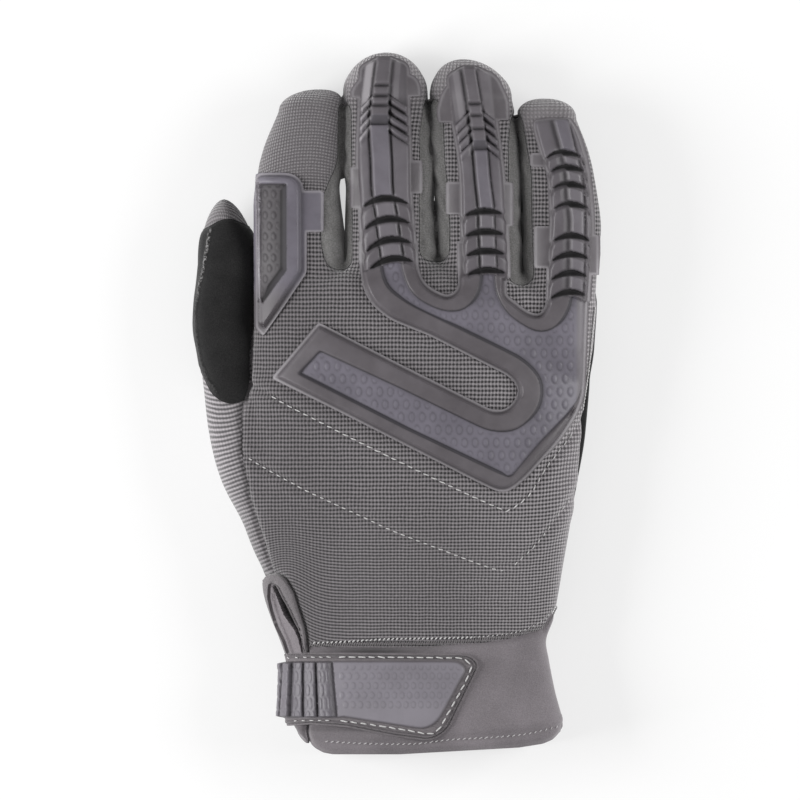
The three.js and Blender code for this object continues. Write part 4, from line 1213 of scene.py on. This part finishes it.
def armRelief(arm, x, y, s, bent, span):
    # height, painted shade in the hollows and cuts, painted highlights, and smooth faces of one finger arm
    g, c, d = guardLevels, armCut, armShade
    rows = arm["rows"]
    half = along(rows, "half")(y)
    side = np.abs(s) - half
    strip = ramp(-side, -0.15, 0.25)
    lineWide = np.where(s < 0, arm["lines"][0], arm["lines"][1])
    line = bell(side - 0.15 - lineWide * 0.8, lineWide)
    own = g["plate"] + (g["strip"] - g["plate"]) * strip - line * g["lineDepth"]
    lineDark = arm.get("lineDark", d["line"])
    # painted shade in the lines beside the strip
    dark = lineDark * line
    pale = d["palePlate"] + 0 * x
    smooth = d["smooth"] + d["smoothStrip"] * strip
    gapHere = 0 * x
    if "bars" in arm:
        # slanted bars beside the strip, and cut blocks on it
        bars = arm["bars"]
        high, low = arm["slope"]
        slant = np.where(s < 0, bars["left"], bars["right"])
        t = (bars["first"] - (y + slant * np.clip(side, 0, None))) / bars["pitch"]
        inBars = (t > 0) & (t < bars["count"]) & (side > 0)
        phase = t % 1
        cut = ramp(phase, 0.02, 0.16) * (1 - 0.9 * ramp(phase, 0.62, 0.95) * (s > 0))
        face = g["block"] - c["barDrop"] - c["barFall"] * np.abs(phase - c["barTop"])
        own = np.where(inBars, face * cut + g["crescent"] * (1 - cut) - g["lineDepth"] * line, own)
        # painted shade in the cuts between the bars
        dark = np.where(inBars, np.maximum(d["bars"] * (1 - cut), dark), dark)
        # painted highlight on the left faces of the bars
        glint = bell(phase - 0.34, 0.2) * (s < 0) * arm["glint"]
        pale = np.where(inBars, glint, pale)
        # the plates of the fingertip slope down to the sides
        onTip = (y > high) & ~inBars & (side > 0)
        own = np.where(onTip, own + g["tipLift"] - arm["tipFall"] * side, own)
        # painted highlight on the left plate of the fingertip
        sheen = d["paleTip"] * arm["glint"] * ramp(side, 0.9, 1.2) * (1 - ramp(side, 3.6, 4.2))
        pale = np.where(onTip & (s < 0), sheen, pale)
        top = np.full_like(x, g["block"])
        # painted shade in the notches between the blocks and at the foot of the slope
        for at in arm["blocks"]:
            notch = bell(y - at, c["notchWide"])
            top = top - g["notchDepth"] * notch
            dark = np.maximum(dark, d["notch"] * notch * strip)
        fall = ramp(high - y, 0, high - low)
        top = top * (1 - fall) + g["valley"] * fall
        valley = strip * d["valley"] * ramp(high - y, 0, 0.5) * ramp(y, low - 0.2, low + 0.4)
        dark = np.maximum(dark, valley)
        own = np.where(y > low, own * (1 - strip) + top * strip, own)
        smooth = np.where(y > high, d["smoothTip"], smooth)
    centre = (along(rows, "right")(y) + along(rows, "left")(y)) / 2
    taper = np.clip(1 - np.abs((s + along(rows, "mid")(y) - centre) / span) ** 2, 0, 1)
    flat = np.clip(side, 0, None)
    arches = arm["arches"] + [arm["arches"][-1] - 7]
    for at, following in zip(arches, arches[1:]):
        below = at - bent
        nextGap = at - following
        # the gap between two blocks, with painted shade where it is deep, and the front of the next block
        thick = arm["archThick"]
        shade = c["gapLeast"] + (thick - c["gapLeast"]) * taper
        if at in arm["arches"][:arm.get("thin", 0)]:
            shade = shade * (1 - np.where(s < 0, c["thinLeft"], c["thinRight"]) * ramp(side, 0, 0.9))
        inArch = (below > 0) & (below < nextGap + 0.01)
        front = thick - c["frontLean"] * flat
        rise = ramp(below, c["riseFrom"] * thick, front)
        top = g["block"] - (g["block"] - g["blockEnd"]) * np.clip((below - thick) / (nextGap - thick), 0, 1)
        top = top - c["sideDrop"] * (1 - strip) - c["lineDrop"] * line - c["endDrop"] * (1 - taper) ** 2
        bottom = g["crescent"] + c["endRise"] * (1 - ramp(taper, 0.05, 0.45))
        own = np.where(inArch, bottom * (1 - rise) + top * rise, own)
        hollow = (1.0 - ramp(below, shade * 0.86, shade * 1.06)) * ramp(taper, 0.0, 0.08)
        edgeLine = d["edge"] * bell(below - front, c["edgeWide"])
        dark = np.where(inArch, np.maximum(np.maximum(hollow, lineDark * line), edgeLine), dark)
        onTop = ramp(below, front, front + 0.4)
        smooth = np.where(inArch, d["smoothTip"] + d["smoothArch"] * strip * onTop, smooth)
        # painted light on the tops of the blocks on the strip
        pale = np.where(inArch, d["paleArch"] * strip * onTop, pale)
        gapHere = np.where(inArch, 1 - ramp(below, thick * 0.8, thick * 1.2), gapHere)
    return own, dark, pale, smooth, gapHere


indexLines = dict(
    outline=[
        (-48.6, 79.4, 2.5), (-36, 79.6, 4), (-32.4, 76.4, 3), (-32.2, 73.4), (-25.4, 73.4, 0.8),
        (-25.4, 59.2, 0.8), (-31, 59.2), (-31, 45, 1.5), (-45.6, 23.2, 0.8), (-48.4, 26, 1),
    ],
    body=[
        (-48.2, 78.6, 2.5), (-36.4, 78.6, 4), (-33.4, 75.6, 3), (-33.2, 45.6, 1.5), (-45.6, 25.6, 0.6),
        (-47.6, 28, 1),
    ],
    recess=[(-47.2, 75.9, 0.3), (-37.8, 75.9, 0.5), (-37.8, 45.9, 0.8), (-46.2, 34.4, 0.4), (-47.2, 36.6)],
    # lipPale and rim are painted highlights; the dark values, ring and cavity are painted shade
    wall=2.5, wallLeast=0.3, rail=0.85, sunk=0.5, lipPale=0.8, rim=0.65,
    slopeDark=0.42, broadDark=0.38, floorDark=0.34, ring=0.8, footDark=0.16, cavity=0.6,
)


def indexRelief(x, y):
    # outline, height, painted shade, painted highlights and cool tint of the guard on the index finger
    g, n = guardLevels, indexLines
    plan = within(roundOff(n["outline"]), x, y)
    body = within(roundOff(n["body"]), x, y)
    recess = within(roundOff(n["recess"]), x, y)
    height = g["flange"] + (g["rail"] - g["flange"]) * ramp(body, 0, 0.8)
    # the wall on the right and at the foot is a broad slope
    overX = np.gradient(recess, raster)[0]
    broad = ramp(-overX, 0.4, 0.8)
    wall = n["wallLeast"] + (n["wall"] - n["wallLeast"]) * broad
    fall = ramp(recess, 0, wall)
    raised, ring = ovals((x + 1.3) * 1.25, (y + 0.8) * 1.2, ramp(recess, wall + 0.2, wall + 0.8))
    height = height * (1 - fall) + (g["recess"] - n["sunk"] + raised) * fall
    slope = ramp(recess, -0.1, 0.15) * (1 - ramp(recess, wall - 0.3, wall + 0.1))
    # painted highlight on the left lip and along the edges of the flange
    lip = (recess < 0.1) * (x < -46.8) * ramp(y, 34, 37) * ramp(-y, -77, -75) * ramp(body, 0.1, 0.4)
    pale = np.maximum(n["lipPale"] * lip, n["rim"] * edgeShine(plan) * (height < g["flange"] + 0.4))
    # painted shade on the slope into the recess, on its floor, round the ovals and at the foot
    foot = 1 - ramp(y, 34, 44)
    deep = (n["slopeDark"] + n["broadDark"] * broad) * slope + n["floorDark"] * fall * (1 - slope)
    deep = np.clip(deep + n["ring"] * ring + n["footDark"] * foot, 0, 1)
    height, cavity = softened(height)
    # painted shade in the hollows
    deep = np.clip(deep + cavity * n["cavity"], 0, 1)
    return dict(plan=plan, height=height, deep=deep, pale=pale, cool=n["rail"] * (1 - fall) * (1 - foot))


mouldFine = dict(coarse=0.72, fine=0.42, change=0.07)


def moulded(
    name, part, relief, finish, nodes=(), base=0.08, measures=("deep",), sharp=60, fine=mouldFine,
):
    # a layer on the hand: part of its surface, refined and then raised by a relief of points
    points, faces = largestPart(*part)
    rim = rimOf(faces)
    lining, liningFaces = points, faces
    n = len(points)

    def raised(points):
        normals = outward(points)
        height = relief(points)[0]
        for _ in range(2):
            height = relief(points + normals * height[:, None])[0]
        return points + normals * height[:, None], height

    for longest, change in ((fine["coarse"], 0), (fine["fine"], fine["change"])):
        _, height = raised(points)
        points, faces = splitInside(
            points, faces, longest, lambda edges: np.abs(height[edges[:, 0]] - height[edges[:, 1]]) >= change,
        )
        points[n:] = settle(points[n:], 1)
    top, _ = raised(points)
    layers = relief(top)[1:]
    under = lining + outward(lining) * base
    top = np.column_stack([top, *layers])
    under = np.column_stack([under, np.zeros((n, len(layers)))])
    whole, faces = closeShell(top, faces, under, liningFaces, rim)
    whole[:, 2] = np.maximum(whole[:, 2], 0)
    makePiece(name, whole, faces, finish, nodes, measures, sharp)
    print("moulded", name, len(faces), "triangles")


def largestPart(points, faces):
    # the largest joined part of a mesh
    label = np.arange(len(points))
    while True:
        low = label[faces].min(axis=1)
        fresh = label.copy()
        for k in range(3):
            np.minimum.at(fresh, faces[:, k], low)
        fresh = fresh[fresh]
        if (fresh == label).all():
            break
        label = fresh
    kinds, counts = np.unique(label[faces[:, 0]], return_counts=True)
    return compact(points, faces[label[faces[:, 0]] == kinds[counts.argmax()]])


rubberMeasures = ("deep", "cool", "pale")


def guardOn(name, read, foot):
    # a rubber guard, from its layers seen from above, down to foot above the mid line
    def field(x, y, z):
        plan = read(np.column_stack([x, y]), ["plan"])[0]
        plan = np.minimum(plan, fingerDistance(thumb, x, y, z) - handDistance(x, y, z))
        return np.where(z > midAt(y) + foot, np.minimum(plan, z - midAt(y) - foot), -1.0)

    def relief(points):
        return read(points, ["height", *rubberMeasures])

    part, _ = divide(*filled, field)
    moulded(name, part, relief, finishes["rubber"], [name], measures=rubberMeasures, sharp=42)


guardOn("knuckle_guard", sampled((-50, -36), (74, 124), raster, knuckleRelief), 1.0)
guardOn("index_guard", sampled((-52, 20), (-22, 83), raster, indexRelief), 0.5)


# Suede patch round the thumb
patchLook = dict(
    outline=[
        (-75, 57), (-66.4, 60, 2), (-58.5, 64.6, 4), (-50, 60.6, 2), (-44, 57), (-44, 8), (-49.8, 4.2, 1),
        (-52.6, 0.9, 1.5), (-57.8, -0.6, 4), (-63.4, 2.6, 3), (-67.8, 12.1, 2), (-75, 17),
    ],
    lip=0.25, thick=0.55, edge=0.9,
    welt=dict(route=[
        (-64.4, 60), (-65.4, 54), (-66.6, 47), (-68.4, 39.5), (-69.6, 31), (-69, 22), (-67.4, 14),
        (-65.2, 8.6), (-62.2, 3.8),
    ], wide=0.6, rise=0.35),
)


def patchRelief(points):
    # thin suede with small creases, and a welt with pale specks: painted highlight of its ridge, and wear
    x, y, z = points.T
    p, w = patchLook, patchLook["welt"]
    depth = within(roundOff(p["outline"]), x, y)
    away = toLine(w["route"], x, y) + np.clip(midAt(y) - 3 - z, 0, 5)
    welt = bell(away, w["wide"])
    crease = 0.12 * np.sin(x / 2.3 + 1.7 * np.sin(y / 6.1)) * np.sin(y / 4.2)
    height = p["lip"] + (p["thick"] - p["lip"]) * ramp(depth, 0, p["edge"]) + w["rise"] * welt
    return height + crease * ramp(depth, 0.5, 2), ramp(welt, 0.2, 0.8) * (0.15 + 0.85 * ramp(y, 34, 44))


patchPart, _ = divide(*thumbPart, lambda x, y, z: within(roundOff(patchLook["outline"]), x, y))
moulded("thumb_patch", patchPart, patchRelief, finishes["suede"], ["thumb_patch"])


def pipeRelief(points):
    # round piping along the edges of its own strip
    x, y, z = points.T
    l = slitLook
    edge = np.minimum(np.abs(within(tongueOutline, x, y)), np.abs(within(gapOutline, x, y)))
    edge = np.minimum(edge, within(lensOutline, x, y))
    edge = np.minimum(edge, (z - midAt(y) - l["foot"]) * 0.6)
    t = 1 - np.clip(edge / l["pipeHalf"], 0, 1)
    return l["pipeLow"] + l["pipeRise"] * np.sqrt(1 - t * t), 0 * x


def tongueRelief(points):
    # soft tongue with a ridge on its left, falling away into the gap beside it, which is painted dark as
    # shade
    x, y, z = points.T
    l, r = slitLook, slitLook["ridge"]
    edge = np.clip(within(tongueOutline, x, y), 0, 9)
    ridge = bell(edge - r["inside"], r["wide"]) * (x < -39.5 + (-64 - y) * 0.3)
    ridge = ridge * ramp(z - midAt(y), 5, 8)
    height = l["tongueLow"] + l["tongueRise"] * ramp(edge, 0, 0.7) + r["rise"] * ridge
    inGap = ramp(within(gapOutline, x, y), -0.2, 0.5)
    return height * (1 - inGap) + l["gapDepth"] * inGap, ramp(inGap, 0.1, 0.7)


def tongueField(x, y, z):
    # positive on the tongue and in the gap beside it
    return np.maximum(within(tongueOutline, x, y), within(gapOutline, x, y))


slitPart, _ = divide(*filled, planCut(lensOutline, slitLook["foot"]))
tonguePart, pipePart = divide(*slitPart, tongueField)
moulded(
    "slit_tongue", tonguePart, tongueRelief, finishes["cuff"], base=slitLook["tongueBase"],
)
moulded(
    "slit_binding", pipePart, pipeRelief, finishes["piping"], ["slit_binding"],
    base=slitLook["pipeBase"],
)


# Closing strap: two layers of webbing, with a rubber pad on top
strapLook = dict(
    outline=[
        (-80, -85.4), (25.6, -86.4, 3), (28.8, -90.2, 2), (17.8, -113, 3), (12.2, -116.6, 3),
        (-0.5, -115), (-17.2, -111.7), (-29.3, -110.7), (-36.7, -111.2), (-80, -110.9),
    ],
    under=dict(top=-85.4, foot=-110.8, end=-6), lower=1.0, upper=1.55, step=0.85, seam=1.75, base=0.3,
    pad=[
        (-80, -88.8), (21.6, -88.8, 2.5), (24.2, -91.8, 2), (14.2, -110, 3), (9.8, -112.6, 3),
        (-18, -108.3), (-21.5, -108.7), (-80, -108.7),
    ],
    padFoot=-0.5, padLevel=2.35, padBase=1.45, padBevel=0.8,
    padFine=dict(coarse=0.36, fine=0.26, change=0.015),
    ribs=dict(
        grooves=[-50, -45.4, -39.9, -35.9, -32.1, -27.8], turnAt=21.5, half=0.5, top=3.2, fold=1.5, cut=1.2,
        slope=(-24.4, -21.9), fan=0.0075, fanX=-32, ends=(-88.8, -108.3),
    ),
)
strapOutline, padOutline = roundOff(strapLook["outline"]), roundOff(strapLook["pad"])


def strapField(x, y, z):
    # positive on the strap: its outline on the back, and a plain band under the wrist
    u = strapLook["under"]
    below = np.minimum(np.minimum(y - u["foot"], u["top"] - y), u["end"] - x)
    return np.where(z > midAt(y), within(strapOutline, x, y), below)


def strapRelief(points):
    # two layers with a step between them, and a sewn line inside the edge, with painted shade along both
    x, y, z = points.T
    depth = strapField(x, y, z)
    s = strapLook
    upper = ramp(depth, s["step"] - 0.12, s["step"] + 0.12)
    line = bell(depth - s["step"], 0.16)
    seam = bell(depth - s["seam"], 0.34) * (z > midAt(y) + 4)
    height = s["lower"] + (s["upper"] - s["lower"]) * upper - 0.35 * line - 0.2 * seam
    height = height - 0.25 * (1 - ramp(depth, 0, 0.3))
    return height, np.maximum(line, 0.5 * seam)


def padRelief(points):
    # rubber pad: small ovals on its plain part, and deep ribs on the pull end, with painted shade in the rib
    # grooves and round the ovals
    x, y, z = points.T
    s, r = strapLook, strapLook["ribs"]
    depth = within(padOutline, x, y)
    lean = x - r["fan"] * (x - r["fanX"]) * (r["ends"][0] - y) - 0.8 * np.clip(r["turnAt"] - z, 0, None)
    ends = ramp(np.minimum(r["ends"][0] - y, y - r["ends"][1]), -0.2, 0.5)
    cut = sum(bell(lean - g, r["half"]) for g in r["grooves"])
    fall = ramp(lean, *r["slope"])
    ring = ovalsAt(lean, y, 1.5, 4.6, 0.62, 2.0)
    top = r["top"] + r["fold"] * ramp(-x, 33, 38)
    rib = (top - r["cut"] * cut + 0.12 * ramp(1.1 - ring, 0, 0.3)) * (1 - fall) + (s["padLevel"] - 0.5) * fall
    onRibs = lean < r["slope"][1]
    oval = ovalsAt(x + 0.7, y, 2.6, 3.3, 0.8, 1.1)
    room = ramp(depth, 1.2, 2) * ramp(y, -106.2, -105) * (x > -19.5)
    main = s["padLevel"] + 0.1 * ramp(1.15 - oval, 0, 0.35) * room
    height = np.where(onRibs, s["padBase"] + 0.4 + (rib - s["padBase"] - 0.4) * ends, main)
    height = s["padBase"] + 0.35 + (height - s["padBase"] - 0.35) * ramp(depth, 0, s["padBevel"])
    ribShade = 0.05 + 0.62 * np.clip(cut, 0, 1) + 0.35 * fall + 0.12 * bell(ring - 1, 0.2)
    dark = np.where(onRibs, ribShade, 0.2 * bell(oval - 1, 0.22) * room)
    pale = np.where(onRibs, 0.12, 0.3 + 0.08 * ramp(-y, 100, 106)) * ramp(depth, 0, 1)
    return height, np.clip(dark * ends, 0, 1), np.where(onRibs, 0.55, 1) * ramp(depth, 0, 1), pale


strapPart, _ = divide(*filled, strapField)
moulded(
    "wrist_strap", strapPart, strapRelief, finishes["strap"], ["wrist_strap"],
    base=strapLook["base"], sharp=50,
)
padPart, _ = divide(*filled, planCut(padOutline, strapLook["padFoot"]))
moulded(
    "strap_pad", padPart, padRelief, finishes["rubber"], ["strap_pad"],
    base=strapLook["padBase"], measures=rubberMeasures, sharp=42, fine=strapLook["padFine"],
)


def overTop(x, y, lift, start=44.0, rounds=40):
    # point on the back of the hand at x and y, and the direction out of it
    z = np.full(x.shape, start)
    for _ in range(rounds):
        z = z - 0.7 * gloveDistance(x, y, z)
    points = np.column_stack([x, y, z])
    normals = outward(points)
    return points + normals * lift, normals


def spaced(route, pitch):
    # points at an even pitch along a smooth line through route, with the way it runs
    rows = np.array(route, float)
    t = np.arange(len(rows))
    fine = np.linspace(0, len(rows) - 1, 40 * len(rows))
    slopes = np.gradient(rows, axis=0)
    i = np.clip(fine.astype(int), 0, len(rows) - 2)
    u = (fine - t[i])[:, None]
    line = (1 + 2 * u) * (1 - u) ** 2 * rows[i] + u * u * (3 - 2 * u) * rows[i + 1]
    line = line + u * (1 - u) ** 2 * slopes[i] + u * u * (u - 1) * slopes[i + 1]
    run = np.concatenate([[0], np.cumsum(np.linalg.norm(np.diff(line, axis=0), axis=1))])
    at = np.arange(pitch / 2, run[-1], pitch)
    spots, ahead, back = [
        np.column_stack([np.interp(at + shift, run, line[:, k]) for k in range(rows.shape[1])])
        for shift in (0, 0.3, -0.3)
    ]
    return spots, ahead - back


def threadMesh(spots, ways, normals, length, thick, arch):
    # short bent threads, each a closed tube whose ends go down into the cloth
    sections, sides = 5, 6
    ways = ways - normals * (ways * normals).sum(axis=1, keepdims=True)
    ways /= np.linalg.norm(ways, axis=1, keepdims=True)
    across = np.cross(normals, ways)
    points, faces = [], []
    length = np.broadcast_to(length, len(spots))
    for k in range(sections):
        t = 2 * (k + 0.5) / sections - 1
        size = thick / 2 * (1 - abs(t) ** 4) ** 0.5
        centre = spots + ways * (t * length / 2)[:, None] + normals * arch * (1 - t * t)
        for i in range(sides):
            turn = 2 * math.pi * i / sides
            points.append(centre + across * size * math.cos(turn) + normals * size * math.sin(turn))
    for end in (-1, 1):
        points.append(spots + ways * (end * length / 2)[:, None])
    points = np.stack(points, axis=1)
    for k in range(sections - 1):
        for i in range(sides):
            a, b = k * sides + i, k * sides + (i + 1) % sides
            faces += [(a, b, a + sides), (b, b + sides, a + sides)]
    first, last = sections * sides, sections * sides + 1
    for i in range(sides):
        a, b = i, (i + 1) % sides
        faces += [(b, a, first), (a + (sections - 1) * sides, b + (sections - 1) * sides, last)]
    faces = np.array(faces)
    count = points.shape[1]
    allFaces = np.concatenate([faces + count * k for k in range(len(spots))])
    return points.reshape(-1, 3), allFaces


# Seams with visible thread. lift is the height over the hand, turn the angle to the route, arch the rise of
# each stitch, and sink how much deeper some of them lie
sewing = dict(
    upper=dict(route=[
        (-43.6, 2.9), (-38.5, -0.2), (-26.4, -6.4), (-14.3, -12.6), (1.2, -20.2), (18.5, -28.5),
        (34.6, -35.8), (38.8, -36.8), (46.1, -31.2), (51.2, -22.9), (56.4, -16), (61.6, -9.1),
    ], pitch=3.1, length=2.1, thick=0.46, lift=-0.12, turn=8, arch=0.24, sink=0.4),
    lower=dict(route=[
        (-51.6, -18.5), (-45.4, -22.3), (-32.3, -29.5), (-22.9, -34), (-10.9, -39.5), (-0.5, -44.3),
        (18.5, -51.6), (30.5, -56.1), (37.4, -57.6), (42.6, -54), (49.5, -47.1), (56.4, -37.4),
        (60.4, -32.6),
    ], pitch=2.8, length=1.6, thick=0.42, lift=-0.12, turn=8, arch=0.22, sink=0.45),
    chain=dict(
        route=[(-29, -82.6), (-18, -82.2), (-8.5, -81.6), (1, -81.2), (15, -81), (26, -80.7)],
        pitch=1.5, length=1.15, thick=0.5, lift=0.25, turn=38, arch=0.25, sink=0.4,
    ),
    chainEnd=dict(
        route=[(26, -80.7), (35.7, -79.8), (43, -78.4), (49.6, -75.2), (55, -69.5)],
        pitch=1.6, length=0.9, thick=0.3, lift=0.1, turn=30, arch=0.2,
    ),
    strap=dict(route=[
        (-20, -87.5), (-10, -87.6), (0, -87.7), (17, -87.9), (21.8, -88.1), (24.4, -89.4), (25.4, -91.4),
        (22.4, -98.4), (18.4, -105.6), (15.4, -111), (13.4, -113.2), (10.6, -114), (4.8, -113),
        (-8.4, -110.9), (-19.9, -109.4),
    ], pitch=3.3, length=2.5, thick=0.52, lift=1.75, turn=-4, arch=0.2),
    foldTop=dict(
        route=[(-37.2, -87.4), (-30, -87.4), (-21, -87.5)],
        pitch=2.6, length=1.6, thick=0.4, lift=1.7, turn=-4, arch=0.16, sink=0.3,
    ),
    foldFoot=dict(
        route=[(-22, -109.4), (-29, -109.4), (-36, -109.6)],
        pitch=2.6, length=1.6, thick=0.4, lift=1.7, turn=-4, arch=0.16, sink=0.3,
    ),
    edge=dict(route=[
        (68.2, 33.3), (67.6, 27.8), (66.9, 20.6), (66.2, 13.5), (65.6, 8.8), (64.9, 4), (64.4, 0.8),
        (63.8, -3),
    ], pitch=1.2, length=1.35, thick=0.6, lift=0.3, turn=3, arch=0.12),
    hem=dict(route=[
        (-25, -116.5), (-11.5, -117.3), (6, -117.4), (18.5, -116), (35.7, -115), (46, -113.8),
        (56, -111.4),
    ], pitch=1.9, length=1.25, thick=0.28, lift=0.05, turn=24, arch=0.16, sink=0.4),
)
overlock = dict(
    band=dict(route=[
        (-30, -83.2), (-18, -83), (-8.5, -82.9), (5, -82.8), (15, -82.4), (28.6, -81.6), (39, -80.1),
        (50.6, -77), (55, -70.4),
    ], pitch=0.8, length=1.7, thick=0.36, lift=0.12, turn=62, arch=0.18),
)


def sewThreads(name, rows, finish):
    # all the stitches of several seams as one piece
    points, faces = [], []
    count = 0
    for row in rows.values():
        spots, ways = spaced(row["route"], row["pitch"])
        places, normals = overTop(spots[:, 0], spots[:, 1], row["lift"])
        places = places - normals * (row.get("sink", 0) * dice.uniform(0, 1, len(spots)) ** 2)[:, None]
        turn = np.radians(row["turn"] + dice.normal(0, 3, len(spots)))
        (x, y), c, s = ways.T, np.cos(turn), np.sin(turn)
        ways = np.column_stack([x * c - y * s, x * s + y * c, 0 * turn])
        length = row["length"] * dice.uniform(0.88, 1.1, len(spots))
        rowPoints, rowFaces = threadMesh(places, ways, normals, length, row["thick"], row["arch"])
        points.append(rowPoints)
        faces.append(rowFaces + count)
        count += len(rowPoints)
    makePiece(name, np.concatenate(points), np.concatenate(faces), finish, sharp=80)
    print("sewn", name, sum(len(f) for f in faces), "triangles")


sewThreads("stitches", sewing, finishes["thread"])
sewThreads("wrist_overlock", overlock, finishes["overlock"])


# Camera straight above, as the photograph is taken, with a pale floor and a soft studio light
view = dict(middle=(1.21, 1.21), wide=276, height=700)
camera = bpy.data.objects.new("camera", bpy.data.cameras.new("camera"))
camera.data.type = "ORTHO"
camera.data.ortho_scale = view["wide"] * mm
camera.location = [view["middle"][0] * mm, view["middle"][1] * mm, view["height"] * mm]
bpy.context.collection.objects.link(camera)
bpy.context.scene.camera = camera

light = dict(
    world=0.3,
    key=dict(place=(-800, -60, 430), size=500, watts=8.5),
    fill=dict(place=(800, 60, 430), size=500, watts=5.5),
)
world = bpy.data.worlds.new("studio")
world.use_nodes = True
world.node_tree.nodes["Background"].inputs[0].default_value = (1, 1, 1, 1)
world.node_tree.nodes["Background"].inputs[1].default_value = light["world"]
bpy.context.scene.world = world
for name in ("key", "fill"):
    lamp = bpy.data.lights.new(name, "AREA")
    lamp.size = light[name]["size"] * mm
    lamp.energy = light[name]["watts"]
    holder = bpy.data.objects.new(name, lamp)
    holder.location = [v * mm for v in light[name]["place"]]
    holder.rotation_euler = (-holder.location).to_track_quat("-Z", "Y").to_euler()
    bpy.context.collection.objects.link(holder)

floorLook = dict(
    half=4, drop=0.0002, glow=0.6, base=(0.4, 0.4, 0.4), dark=(0.39, 0.39, 0.39), light=(0.41, 0.41, 0.41),
)
half = floorLook["half"]
floorMesh = bpy.data.meshes.new("floor")
corners = [(-half, -half, 0), (half, -half, 0), (half, half, 0), (-half, half, 0)]
floorMesh.from_pydata(corners, [], [(0, 1, 2, 3)])
floor = bpy.data.objects.new("floor", floorMesh)
floorFinish = Finish(
    "floor_paper", floorLook["base"], 0.9, Emission_Color=(1, 1, 1, 1), Emission_Strength=floorLook["glow"],
)
floorFinish.cover(floorFinish.noise(60, 2, 0.5), floorLook)
floorMesh.materials.append(floorFinish.made)
floor.location.z = -floorLook["drop"]
bpy.context.collection.objects.link(floor)
bpy.context.scene.view_settings.view_transform = "Standard"
print("studio", "camera, two lamps and the floor")
